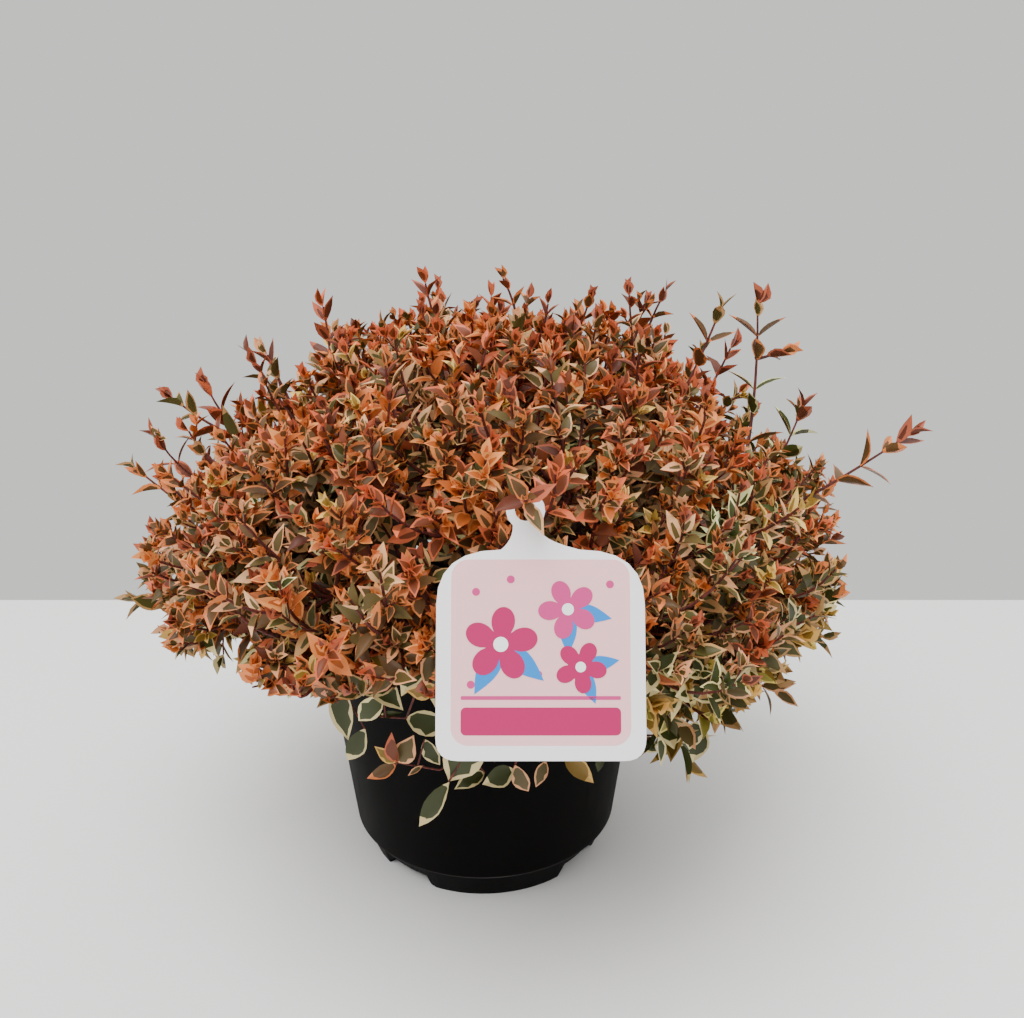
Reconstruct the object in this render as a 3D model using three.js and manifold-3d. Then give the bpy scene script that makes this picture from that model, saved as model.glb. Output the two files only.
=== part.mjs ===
// A glossy abelia in its nursery pot: a low, wide, dense shrub with small variegated leaves, a short main stem
// hidden inside, boughs that fan out from it, and masses of leafy twigs that hang a little over the pot's rim.
// Millimetres, +Z up. The origin is under the middle of the pot, on the surface that it stands on, and -Y is
// the front.
import * as THREE from "three";
import { mergeVertices } from "three/addons/utils/BufferGeometryUtils.js";
import Module from "manifold-3d";

const wasm = await Module();
wasm.setup();

const clearance = 0.3; // between pieces that touch on the real plant

// Round nursery pot of 3 litres, 19 cm across its rim
const pot = {
  rimRadius: 95,
  height: 150,
  lipDepth: 8,
  lipReach: 2.2,
  seamRadius: 79.4,
  seamHeight: 17.8,
  ledge: 2.2,
  footRadius: 70.5,
  wall: 1.6,
  feet: 4,
  footArc: 65,
  frontFootTurn: -83,
  archHeight: 6.5,
  archDepth: 12,
  keepOff: 3,
  sides: 32,
};

const soil = { level: 136, edgeFall: 2.5, flatRadius: 22 };

// The main stem flares into the soil, narrows to its waist and swells again to the head that holds the boughs
const mainStem = {
  height: 34,
  flareRadius: 13,
  flareFall: 6, // how fast the flare dies away up the stem
  waistRadius: 8.5,
  headRadius: 10,
  headFrom: 0.3, // shares of the height between which the head swells
  headTo: 0.75,
  domeFrom: 0.85,
  domeTop: 0.5, // share of the head's radius left at its very top
  ribs: 5,
  ribShare: 0.12,
  lean: 2,
  sides: 12,
  rings: 8,
};

// The crown is a flattened dome around its middle
const crown = {
  middle: new THREE.Vector3(3, 0, 193),
  radius: 192,
  rise: 128,
  drop: 106,
  lowestTip: -0.74, // sine of the lowest tip's angle
  topDensity: 1.15, // over 1 puts the tips closer together on the top
  tipsFrom: 0.81, // shares of the crown's radius between which the twigs end
  tipsTo: 0.9,
  entry: 0.46, // where boughs end and foliage begins
  stemEnd: 0.68,
  heart: 0.76, // where a mass of foliage has its middle
};

// Where the crown stands out (+) or falls back (-): a turn and a lift in degrees, and a share of the radius
const swellings = [
  { turn: 8, lift: -10, spread: 24, share: 0.05 },
  { turn: -25, lift: -45, spread: 20, share: 0.05 },
  { turn: 0, lift: 39, spread: 14, share: -0.22 },
  { turn: 184, lift: -14, spread: 26, share: 0.05 },
  { turn: 165, lift: 32, spread: 20, share: -0.05 },
  { turn: 180, lift: 50, spread: 16, share: -0.07 },
  { turn: -145, lift: -36, spread: 28, share: -0.17 },
  { turn: -90, lift: -40, spread: 26, share: -0.06 },
];

// The close inner foliage of a mass, from where the crown's open middle ends
const core = {
  inside: 0.51,
  outside: 0.78,
  room: 0.7,
  roomOverPot: 22,
  step: 1.5,
  leafShare: 0.85,
  leafSpread: 52,
  outwards: 0.35, // least share by which a face that carries a leaf has to look outwards
  rootDepth: 2.4,
};

// Rings of foliage, each with one bough for every mass
const rings = [
  { ring: "top", count: 1, lift: 90, turn: 0, boughLift: 88, stemShare: 0.9, offAxis: 0 },
  { ring: "upper", count: 5, lift: 42, turn: -90, boughLift: 58, stemShare: 0.84, offAxis: 6.8 },
  { ring: "middle", count: 8, lift: 7, turn: -67, boughLift: 38, stemShare: 0.6, offAxis: 5 },
  { ring: "skirt", count: 7, lift: -32, turn: -90, boughLift: 30, stemShare: 0.36, offAxis: 5 },
];

const bough = { rootRadius: 3.1, tipRadius: 2.4, bow: 0.5, sides: 5, segments: 4 };
const massStem = { tipRadius: 2, bow: 0.45, segments: 3, forksFrom: 0.3, forksTo: 0.95 };
const twig = {
  rootRadius: 1.6,
  tipRadius: 1.3,
  sides: 4,
  segments: 2,
  count: 44,
  bendAt: 0.45,
  follow: 0.14, // how far a twig goes on along the stem before it turns away, as a share of its length
  arch: 0.05,
};

// Leaves stand in for several real ones each, so they are larger than life, except on the long shoots
const leaf = {
  length: 43,
  width: 24,
  thickness: 1.3,
  ribAt: 0.3,
  widestAt: 0.4,
  droop: 0.1,
  neckShare: 0.16,
  sizeSpread: 0.1,
  attempts: 11,
  rollStep: 0.22, // how each new attempt turns, closes and shrinks a leaf that doesn't fit
  closeStep: 0.06,
  shrinkStep: 0.035,
  upwards: 0.45, // how strongly a leaf's face turns to the sky
  unevenness: 0.2,
  nearBy: 1.2, // leaves whose middles are further apart than this many lengths can't touch
};
const seedStep = { twig: 7, shoot: 11, core: 31 }; // keeps the chances of neighbouring leaves apart
const shootLeaf = { length: 32, width: 16, spacing: 25, beyondTwig: 22, sag: 14, tipSpread: 26, spread: 48 };
const pairPlaces = [
  { share: 0.93, spread: 40, size: 0.9 },
  { share: 0.72, spread: 62, size: 1 },
];

// Shoots that stand out of the dome, by the place of their tips; reach is the share that carries leaves
const longShoots = [
  { at: [240, -20, 262], reach: 0.66 }, // arching right
  { at: [143, 10, 329], reach: 0.6 }, // tall right
  { at: [120, -14, 323], reach: 0.55 }, // tall right inner
  { at: [173, -8, 273], reach: 0.5 }, // right upper
  { at: [101, 12, 330], reach: 0.45 }, // top right
  { at: [76, -16, 332], reach: 0.4 }, // top right inner
  { at: [36, -6, 327], reach: 0.4 }, // top middle
  { at: [9, -22, 341], reach: 0.4 }, // top front
  { at: [-31, 8, 337], reach: 0.45 }, // top left
  { at: [-84, -6, 327], reach: 0.5 }, // upper left
  { at: [-126, 12, 298], reach: 0.5 }, // left rise
  { at: [-156, 10, 280], reach: 0.5 }, // left rise outer
  { at: [-172, -10, 278], reach: 0.55 }, // left upper
  { at: [-197, -8, 238], reach: 0.5 }, // left low rise
  { at: [-208, -18, 159], reach: 0.5 }, // left side
  { at: [202, -28, 136], reach: 0.45 }, // right side
  { at: [146, -40, 90], reach: 0.45 }, // right low
  { at: [-30, 96, 322], reach: 0.45 }, // back top
  { at: [112, 138, 272], reach: 0.5 }, // back right
  { at: [-118, 132, 268], reach: 0.5 }, // back left
  { at: [34, 206, 214], reach: 0.5 }, // back low
  { at: [-30, -118, 82], reach: 0.4 }, // front hanging
  { at: [-54, -112, 112], reach: 0.4 }, // front hanging left
];

// The plain card label hangs by its loop on a shoot at the front and leans on the foliage
const label = {
  hook: new THREE.Vector3(22, -153, 259),
  lean: 24,
  thickness: 0.8,
  loopRadius: 8,
  loopOpening: 50, // degrees below level where the loop runs into the neck
  holeRadius: 4.4,
  neck: 12,
  neckHalf: 5,
  width: 84,
  body: 88,
  shoulder: 26,
  shoulderDrop: 4,
  cornerRound: 9,
  shift: 6,
  keepOff: 2,
  keepOffAround: 26,
};
const labelShoot = { radius: 1.3, beyond: 16, before: 22, leafSpread: 0.8, leafDroop: 0.35, leafDepth: 2 };

const degrees = THREE.MathUtils.degToRad;

// Repeatable chance: the same index and channel always give the same number from 0 to 1
function chance(index, channel) {
  const value = Math.sin(index * 127.1 + channel * 311.7) * 43758.5453;
  return value - Math.floor(value);
}

function directionOf(turn, lift) {
  const a = degrees(turn);
  const e = degrees(lift);
  return new THREE.Vector3(Math.cos(e) * Math.cos(a), Math.cos(e) * Math.sin(a), Math.sin(e));
}

function swellingAt(direction) {
  let share = 0;
  for (const s of swellings) {
    const apart = THREE.MathUtils.radToDeg(direction.angleTo(directionOf(s.turn, s.lift)));
    share += s.share * Math.exp(-((apart / s.spread) ** 2));
  }
  return share;
}

// The point of the crown in one direction from its middle; share 1 is its outside
function crownPoint(direction, share = 1) {
  const r = share * (1 + swellingAt(direction));
  const vertical = direction.z > 0 ? crown.rise : crown.drop;
  return new THREE.Vector3(
    crown.middle.x + direction.x * crown.radius * r,
    crown.middle.y + direction.y * crown.radius * r,
    crown.middle.z + direction.z * vertical * r,
  );
}

// Directions spread evenly over the crown, from its top down to its lowest tips
function tipDirection(index, count) {
  const sine = 1 - ((index + 0.5) / count) ** crown.topDensity * (1 - crown.lowestTip);
  const golden = Math.PI * (3 - Math.sqrt(5));
  const across = Math.sqrt(1 - sine * sine);
  const turn = index * golden + 0.5 * (chance(index, 1) - 0.5);
  return new THREE.Vector3(across * Math.cos(turn), across * Math.sin(turn), sine);
}

function bezier(start, control, end, segments) {
  return new THREE.QuadraticBezierCurve3(start, control, end).getPoints(segments);
}

// A closed solid for cutting and joining, from any closed three.js geometry
function solidFrom(geometry) {
  const bare = geometry.clone();
  bare.deleteAttribute("normal");
  bare.deleteAttribute("uv");
  const merged = mergeVertices(bare, 1e-4);
  const mesh = new wasm.Mesh({
    numProp: 3,
    vertProperties: new Float32Array(merged.attributes.position.array),
    triVerts: new Uint32Array(merged.index.array),
  });
  return new wasm.Manifold(mesh);
}

function geometryFrom(solid) {
  const mesh = solid.getMesh();
  const geometry = new THREE.BufferGeometry();
  geometry.setAttribute("position", new THREE.BufferAttribute(new Float32Array(mesh.vertProperties), 3));
  geometry.setIndex(new THREE.BufferAttribute(new Uint32Array(mesh.triVerts), 1));
  geometry.computeVertexNormals();
  return geometry;
}

// Directions along a line of points, and one sideways direction carried along without twisting;
// firstAlong is the direction at its start, where something else sets that
function framesAlong(points, roll = 0, firstAlong = null) {
  const frames = [];
  let side = null;
  points.forEach((point, i) => {
    const before = points[Math.max(i - 1, 0)];
    const after = points[Math.min(i + 1, points.length - 1)];
    const along = i === 0 && firstAlong ? firstAlong : after.clone().sub(before).normalize();
    if (!side) {
      side = new THREE.Vector3(0, 0, 1).cross(along);
      if (side.length() < 0.1) side.set(1, 0, 0);
      side.normalize().applyAxisAngle(along, roll);
    }
    side = side.clone().addScaledVector(along, -side.dot(along)).normalize();
    frames.push({ point, along, side, across: side.clone().cross(along) });
  });
  return frames;
}

// A tapering limb: a cylinder whose rings are moved onto the points of its line
function limb(frames, rootRadius, tipRadius, sides) {
  const segments = frames.length - 1;
  const geometry = new THREE.CylinderGeometry(1, 1, segments, sides, segments);
  geometry.translate(0, segments / 2, 0);
  const position = geometry.getAttribute("position");
  for (let i = 0; i < position.count; i++) {
    const ring = Math.round(position.getY(i));
    const { point, side, across } = frames[ring];
    const radius = THREE.MathUtils.lerp(rootRadius, tipRadius, ring / segments);
    const place = point
      .clone()
      .addScaledVector(side, position.getX(i) * radius)
      .addScaledVector(across, position.getZ(i) * radius);
    position.setXYZ(i, place.x, place.y, place.z);
  }
  return geometry;
}

// The corners of a leaf: its root, its two sides, the top of its rib and its tip
function leafCorners(root, along, face, length, width) {
  const across = along.clone().cross(face).normalize();
  const up = across.clone().cross(along).normalize();
  const place = (x, y, z) =>
    root.clone().addScaledVector(across, x).addScaledVector(along, y).addScaledVector(up, z);
  const widest = leaf.widestAt * length;
  return {
    root: place(0, 0, 0),
    left: place(-width / 2, widest, 0),
    right: place(width / 2, widest, 0),
    ridge: place(0, leaf.ribAt * length, leaf.thickness),
    tip: place(0, length, -leaf.droop * length),
  };
}

// A leaf of six faces: four round the top of its rib and two underneath
function leafGeometry({ root, left, right, ridge, tip }) {
  const geometry = new THREE.BufferGeometry().setFromPoints([root, left, right, ridge, tip]);
  const above = [0, 3, 1, 1, 3, 4, 4, 3, 2, 2, 3, 0];
  const under = [0, 1, 2, 1, 4, 2];
  return geometry.setIndex([...above, ...under]);
}

// The outside radius of the pot's wall at a height
function potRadiusAt(height) {
  if (height < pot.seamHeight) return pot.seamRadius;
  const share = (height - pot.seamHeight) / (pot.height - pot.seamHeight);
  return THREE.MathUtils.lerp(pot.seamRadius, pot.rimRadius, share) + pot.lipReach;
}

function turnedProfile(profile, sides) {
  const geometry = new THREE.LatheGeometry(
    profile.map(([r, z]) => new THREE.Vector2(r, z)),
    sides,
  );
  return geometry.rotateX(Math.PI / 2);
}

// A block under the pot's edge that opens one drain arch between two feet
function drainArch(turn) {
  const half = degrees((360 / pot.feet - pot.footArc) / 2);
  const inner = pot.footRadius - pot.archDepth;
  const outer = pot.footRadius + pot.archDepth;
  const outline = new THREE.Shape();
  outline.absarc(0, 0, outer, turn - half, turn + half, false);
  outline.absarc(0, 0, inner, turn + half, turn - half, true);
  const geometry = new THREE.ExtrudeGeometry(outline, {
    depth: pot.archHeight + 1,
    bevelEnabled: false,
    curveSegments: 4,
  });
  return solidFrom(geometry.translate(0, 0, -1));
}

// Corners of the pot's inside, from its rim down to the middle of its floor
function potInside() {
  const { rimRadius, height, seamRadius, seamHeight, ledge, footRadius, wall } = pot;
  return [
    [rimRadius - wall, height],
    [seamRadius - wall, seamHeight + wall],
    [seamRadius - ledge - wall, seamHeight + wall],
    [footRadius - wall, wall],
    [0, wall],
  ];
}

function potGeometry() {
  const { rimRadius, height, lipDepth, lipReach, seamRadius, seamHeight, ledge, footRadius } = pot;
  const underLip = THREE.MathUtils.lerp(seamRadius, rimRadius, (height - lipDepth) / height);
  const profile = [
    [0, 0],
    [footRadius, 0],
    [seamRadius - ledge, seamHeight],
    [seamRadius, seamHeight],
    [underLip, height - lipDepth],
    [rimRadius + lipReach, height - lipDepth + 1],
    [rimRadius + lipReach, height - 1],
    [rimRadius, height],
    ...potInside(),
  ];
  let body = solidFrom(turnedProfile(profile, pot.sides));
  for (let foot = 0; foot < pot.feet; foot++) {
    const turn = degrees(pot.frontFootTurn + ((foot + 0.5) * 360) / pot.feet);
    body = body.subtract(drainArch(turn));
  }
  return geometryFrom(body);
}

// The radius between two corners of a profile at a height
function radiusBetween([r0, z0], [r1, z1], height) {
  return THREE.MathUtils.mapLinear(height, z0, z1, r0, r1);
}

// Soil fills the pot from above its drain arches to a little below its rim
function soilGeometry() {
  const [rim, ledgeOuter, ledgeInner, floor] = potInside();
  const foot = pot.archHeight + clearance;
  const step = ledgeOuter[1] + clearance;
  const edge = soil.level - soil.edgeFall;
  const profile = [
    [0, foot],
    [radiusBetween(ledgeInner, floor, foot) - clearance, foot],
    [ledgeInner[0] - clearance, ledgeInner[1]],
    [ledgeInner[0] - clearance, step],
    [radiusBetween(rim, ledgeOuter, step) - clearance, step],
    [radiusBetween(rim, ledgeOuter, edge) - clearance, edge],
    [soil.flatRadius, soil.level],
    [0, soil.level],
  ];
  return geometryFrom(solidFrom(turnedProfile(profile, pot.sides)));
}

// The main stem's radius at a share of its height, with the root flare at its foot
function mainStemRadius(share) {
  const { flareRadius, flareFall, waistRadius, headRadius, headFrom, headTo, domeFrom, domeTop } = mainStem;
  const flare = Math.exp(-share * flareFall) * (flareRadius - waistRadius);
  const swell = THREE.MathUtils.smoothstep(share, headFrom, headTo);
  const waist = THREE.MathUtils.lerp(waistRadius, headRadius, swell);
  const over = Math.max(0, (share - domeFrom) / (1 - domeFrom));
  return (waist + flare) * Math.sqrt(1 - over ** 2 * (1 - domeTop ** 2));
}

// The main stem from its flat cut on the soil to its fork, grown by extra all round
function mainStemGeometry(extra = 0) {
  const { height, rings: ringCount, sides, ribs, ribShare, flareFall, lean } = mainStem;
  const foot = soil.level + clearance;
  const profile = [[0, foot - extra]];
  for (let i = 0; i <= ringCount; i++) {
    const share = i / ringCount;
    const grown = THREE.MathUtils.lerp(foot - extra, foot + height + extra, share);
    profile.push([mainStemRadius(share) + extra, grown]);
  }
  profile.push([0, foot + height + extra]);
  const geometry = turnedProfile(profile, sides);
  const position = geometry.getAttribute("position");
  for (let i = 0; i < position.count; i++) {
    const share = THREE.MathUtils.clamp((position.getZ(i) - foot) / height, 0, 1);
    const turn = Math.atan2(position.getY(i), position.getX(i));
    const rib = 1 + ribShare * Math.cos(ribs * turn) * Math.exp(-share * flareFall);
    position.setX(i, position.getX(i) * rib + lean * share);
    position.setY(i, position.getY(i) * rib);
  }
  return geometry;
}

// Every mass of foliage with its place in the crown and the line of its bough
function planMasses() {
  const masses = [];
  for (const { ring, count, lift, turn, boughLift, stemShare, offAxis } of rings) {
    for (let i = 0; i < count; i++) {
      const at = turn + (360 / count) * i;
      const direction = directionOf(at, lift);
      const name = count === 1 ? ring : `${ring}_${i + 1}`;
      const root = directionOf(at, 0).multiplyScalar(offAxis);
      root.x += mainStem.lean * stemShare;
      root.z = soil.level + clearance + mainStem.height * stemShare;
      const entry = crownPoint(direction, crown.entry);
      const leaving = directionOf(at, boughLift);
      const bend = root.clone().addScaledVector(leaving, bough.bow * root.distanceTo(entry));
      masses.push({
        name,
        entry,
        boughLine: bezier(root, bend, entry, bough.segments),
        heart: crownPoint(direction, crown.heart),
        stemEnd: crownPoint(direction, crown.stemEnd),
        tips: [],
        shoots: [],
      });
    }
  }
  return masses;
}

// How far out a point of the crown lies: 0 at its middle, 1 at its outside
function crownShare(point) {
  const from = point.clone().sub(crown.middle);
  const vertical = from.z > 0 ? crown.rise : crown.drop;
  const scaled = new THREE.Vector3(from.x / crown.radius, from.y / crown.radius, from.z / vertical);
  const share = scaled.length();
  return share / (1 + swellingAt(scaled.normalize()));
}

// Half-spaces between neighbouring masses keep each to its own space
function ownsPoint(mass, point, room) {
  return masses.every((other) => {
    if (other === mass) return true;
    const toOther = other.heart.clone().sub(mass.heart).normalize();
    const middle = other.heart.clone().add(mass.heart).multiplyScalar(0.5);
    return point.clone().sub(middle).dot(toOther) < -room;
  });
}

function clearOfPot(point, room, roomAbove = room) {
  const out = Math.hypot(point.x, point.y);
  return point.z > pot.height + roomAbove || out > potRadiusAt(Math.min(point.z, pot.height)) + room;
}

// The open middle of the crown holds only the boughs
function outsideMiddle(point) {
  return crownShare(point) > core.inside;
}

// Sideways, downwards and outwards directions of the leaning card
const labelAxes = (() => {
  const lean = degrees(label.lean);
  const down = new THREE.Vector3(0, -Math.sin(lean), -Math.cos(lean));
  const out = new THREE.Vector3(0, -Math.cos(lean), Math.sin(lean));
  return { side: new THREE.Vector3(1, 0, 0), down, out };
})();

// False for a point that is on the card or would pass through it
function behindLabel(point) {
  const from = point.clone().sub(label.hook);
  const x = from.dot(labelAxes.side) - label.shift;
  const y = from.dot(labelAxes.down);
  const near =
    Math.abs(x) < label.width / 2 + label.keepOffAround &&
    y > -label.loopRadius - label.keepOffAround &&
    y < label.neck + label.body + label.keepOffAround;
  return !near || from.dot(labelAxes.out) < -label.keepOff;
}

function fits(mass, points, room = clearance) {
  return points.every(
    (point) =>
      ownsPoint(mass, point, room) && clearOfPot(point, pot.keepOff + room) && behindLabel(point),
  );
}

// A leaf's faces and edges, without the share at its root that is sunk in the twig
function leafSheet({ root, left, right, ridge, tip }, sunkShare) {
  const neck = root.clone().lerp(tip, sunkShare);
  const rim = [neck, left, tip, right];
  const ends = rim.map((point, i) => [point, rim[(i + 1) % 4]]);
  return {
    middle: ridge,
    faces: ends.map(([a, b]) => [a, b, ridge]),
    edges: [...ends, ...rim.map((point) => [point, ridge]), [neck, tip]],
  };
}

const ray = new THREE.Ray();
const spot = new THREE.Vector3();

function passesThrough([start, end], faces) {
  const length = start.distanceTo(end);
  ray.set(start, end.clone().sub(start).divideScalar(length));
  return faces.some(
    ([a, b, c]) => ray.intersectTriangle(a, b, c, false, spot) && spot.distanceTo(start) < length,
  );
}

function crossesAny(sheet, others, own) {
  return others.some((other) => {
    if (other === own) return false;
    if (other.middle && other.middle.distanceTo(sheet.middle) > leaf.nearBy * leaf.length) return false;
    return (
      other.edges.some((edge) => passesThrough(edge, sheet.faces)) ||
      sheet.edges.some((edge) => passesThrough(edge, other.faces))
    );
  });
}

function halfWay(a, b) {
  return a.clone().lerp(b, 0.5);
}

// A leaf that starts inside its twig; it is turned, then made smaller, until it clears all that is near it
function tryLeaf(mass, own, node, turn, spreadAngle, size, index, sunkShare = leaf.neckShare) {
  const { point: root, along: twigAlong, side } = node;
  const outward = root.clone().sub(crown.middle).normalize();
  for (let attempt = 0; attempt < leaf.attempts; attempt++) {
    const roll = turn + (attempt % 2 ? 1 : -1) * leaf.rollStep * attempt;
    const spread = spreadAngle * (1 - leaf.closeStep * (attempt % 5));
    const scale = size * (1 - leaf.shrinkStep * attempt);
    const sideways = side.clone().applyAxisAngle(twigAlong, roll);
    const along = twigAlong
      .clone()
      .multiplyScalar(Math.cos(spread))
      .addScaledVector(sideways, Math.sin(spread))
      .normalize();
    const face = twigAlong.clone().add(outward);
    face.z += leaf.upwards + leaf.unevenness * (2 * chance(index, 3) - 1);
    const corners = leafCorners(root, along, face, leaf.length * scale, leaf.width * scale);
    const { left, right, ridge, tip } = corners;
    const points = [left, tip, right, ridge];
    const between = points.flatMap((point, i) => [root, points[(i + 1) % 4]].map((to) => halfWay(point, to)));
    if (!fits(mass, [...points, ...between]) || !points.every(outsideMiddle)) continue;
    const sheet = leafSheet(corners, sunkShare);
    if (crossesAny(sheet, mass.sheets, own)) continue;
    mass.sheets.push(sheet);
    return leafGeometry(corners);
  }
  return null;
}

// A twig's line from a place on the mass's stem to its tip
function twigLine(stemLine, target, share) {
  const { point: start, along } = nodeAt(framesAlong(stemLine), share);
  const length = start.distanceTo(target);
  const bend = start.clone().lerp(target, twig.bendAt).addScaledVector(along, twig.follow * length);
  bend.z += twig.arch * length;
  return bezier(start, bend, target, twig.segments);
}

// The place at a share of a line, with its directions
function nodeAt(frames, share) {
  const at = Math.min(share, 0.9999) * (frames.length - 1);
  const below = frames[Math.floor(at)];
  const above = frames[Math.floor(at) + 1];
  const along = above.point.clone().sub(below.point).normalize();
  return {
    point: below.point.clone().lerp(above.point, at - Math.floor(at)),
    along,
    side: below.side.clone().addScaledVector(along, -below.side.dot(along)).normalize(),
  };
}

// The corner lines of a twig, which leaves have to miss
function twigSheet(frames) {
  const corners = [-1, 1].flatMap((x) => [-1, 1].map((y) => [x, y]));
  const cornerOf = ({ point, side, across }, [x, y]) =>
    point
      .clone()
      .addScaledVector(side, x * twig.rootRadius)
      .addScaledVector(across, y * twig.rootRadius);
  const edges = corners.flatMap((corner) =>
    frames.slice(1).map((frame, i) => [cornerOf(frames[i], corner), cornerOf(frame, corner)]),
  );
  return { faces: [], edges };
}

function unevenSize(index) {
  return THREE.MathUtils.lerp(1 - leaf.sizeSpread, 1 + leaf.sizeSpread, chance(index, 5));
}

// Pairs of leaves along a twig, each pair turned a quarter from the last
function leavesOnTwig(mass, { frames, sheet, index }) {
  const found = [];
  pairPlaces.forEach(({ share, spread, size }, pair) => {
    const node = nodeAt(frames, share);
    for (const half of [0, 1]) {
      const turn = Math.PI * (0.25 + 0.5 * pair + half);
      const own = index * seedStep.twig + pair * 2 + half;
      const scale = size * unevenSize(own);
      found.push(tryLeaf(mass, sheet, node, turn, degrees(spread), scale, own));
    }
  });
  return found.filter(Boolean);
}

// Leaves of a long shoot: close to life size, in pairs a short way apart, from where it leaves the dome
function leavesOnShoot(mass, { line, frames, sheet, index, reach }) {
  const found = [];
  const length = line[0].distanceTo(line.at(-1)) * reach;
  const pairs = Math.max(2, Math.round(length / shootLeaf.spacing));
  const size = shootLeaf.length / leaf.length;
  for (let pair = 0; pair < pairs; pair++) {
    const node = nodeAt(frames, 1 - (reach * (pair + 0.15)) / pairs);
    const spread = degrees(pair === 0 ? shootLeaf.tipSpread : shootLeaf.spread);
    for (const half of [0, 1]) {
      const turn = Math.PI * (0.25 + 0.5 * pair + half);
      const own = index * seedStep.shoot + pair * 2 + half;
      found.push(tryLeaf(mass, sheet, node, turn, spread, size, own));
    }
  }
  return found.filter(Boolean);
}

// The core: a faceted ball whose corners are pushed out from the mass's heart until its space ends
function coreGeometry(mass) {
  const geometry = new THREE.IcosahedronGeometry(1, 1);
  const position = geometry.getAttribute("position");
  const held = (point) => {
    const share = crownShare(point);
    const overRim = clearOfPot(point, pot.keepOff + core.room, core.roomOverPot);
    return overRim && share > core.inside && share < core.outside && fits(mass, [point], core.room);
  };
  for (let i = 0; i < position.count; i++) {
    const direction = new THREE.Vector3().fromBufferAttribute(position, i).normalize();
    let reach = core.step;
    while (held(mass.heart.clone().addScaledVector(direction, reach + core.step))) reach += core.step;
    const corner = mass.heart.clone().addScaledVector(direction, reach);
    position.setXYZ(i, corner.x, corner.y, corner.z);
  }
  return geometry;
}

function facesOf(geometry) {
  const position = geometry.getAttribute("position");
  const faces = [];
  for (let i = 0; i < position.count; i += 3) {
    faces.push([i, i + 1, i + 2].map((at) => new THREE.Vector3().fromBufferAttribute(position, at)));
  }
  return faces;
}

// Single leaves that stand out of the outer faces of the core, between the twigs
function leavesOnCore(mass, coreSheets) {
  const found = [];
  coreSheets.forEach((sheet, i) => {
    const face = new THREE.Triangle(...sheet.faces[0]);
    const normal = face.getNormal(new THREE.Vector3());
    const middle = face.getMidpoint(new THREE.Vector3());
    const outward = middle.clone().sub(crown.middle).normalize();
    const own = mass.tips.length * seedStep.core + i;
    const looksOut = crownShare(middle) > crown.stemEnd && normal.dot(outward) > core.outwards;
    if (!looksOut || chance(own, 8) > core.leafShare) return;
    const node = {
      point: middle.addScaledVector(normal, -core.rootDepth),
      along: normal,
      side: face.b.clone().sub(face.a).normalize(),
    };
    const turn = chance(own, 9) * Math.PI * 2;
    found.push(tryLeaf(mass, sheet, node, turn, degrees(core.leafSpread), unevenSize(own), own, 0));
  });
  return found.filter(Boolean);
}

// The lines of a mass's twigs and long shoots that stay in its space
function twigsOf(mass, stemLine) {
  const start = stemLine[0];
  const { forksFrom, forksTo } = massStem;
  const tips = mass.tips.sort((a, b) => a.target.distanceTo(start) - b.target.distanceTo(start));
  const planned = tips.map(({ index, target }, rank) => {
    const share = THREE.MathUtils.lerp(forksFrom, forksTo, (rank + 0.5) / tips.length);
    return { index, line: twigLine(stemLine, target, share), grow: leavesOnTwig };
  });
  for (const { tip, index, reach } of mass.shoots) {
    const outward = tip.clone().sub(crown.middle).normalize();
    const end = tip.clone().addScaledVector(outward, -shootLeaf.beyondTwig);
    const bend = crownPoint(outward, crown.tipsFrom);
    if (outward.z > 0) bend.z -= shootLeaf.sag;
    planned.push({ index, reach, line: bezier(stemLine.at(-1), bend, end, 4), grow: leavesOnShoot });
  }
  const kept = planned.filter(({ line }) => fits(mass, line.slice(1), twig.rootRadius + clearance));
  for (const plan of kept) {
    plan.frames = framesAlong(plan.line, chance(plan.index, 4) * Math.PI);
    plan.sheet = twigSheet(plan.frames);
  }
  return kept;
}

// One fused mass: its stem, core, twigs and leaves, with loose scraps dropped
function foliageGeometry(mass) {
  const leaving = mass.entry.clone().sub(mass.boughLine.at(-2)).normalize();
  const start = mass.entry.clone().addScaledVector(leaving, clearance);
  const bend = start.clone().addScaledVector(leaving, massStem.bow * start.distanceTo(mass.stemEnd));
  const stemLine = bezier(start, bend, mass.stemEnd, massStem.segments);
  const twigs = twigsOf(mass, stemLine);
  const coreBall = coreGeometry(mass);
  const coreSheets = facesOf(coreBall).map((face) => ({ faces: [face], edges: [] }));
  mass.sheets = [...coreSheets, ...twigs.map(({ sheet }) => sheet)];
  const pieces = [
    limb(framesAlong(stemLine, 0, leaving), bough.tipRadius, massStem.tipRadius, bough.sides),
    coreBall,
  ];
  if (mass.holdsLabel) pieces.push(...labelShootPieces(stemLine, mass));
  for (const plan of twigs) {
    pieces.push(limb(plan.frames, twig.rootRadius, twig.tipRadius, twig.sides));
    pieces.push(...plan.grow(mass, plan));
  }
  pieces.push(...leavesOnCore(mass, coreSheets));
  const joined = wasm.Manifold.union(pieces.map(solidFrom));
  const whole = joined.decompose().sort((a, b) => b.volume() - a.volume())[0];
  return geometryFrom(whole);
}

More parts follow.
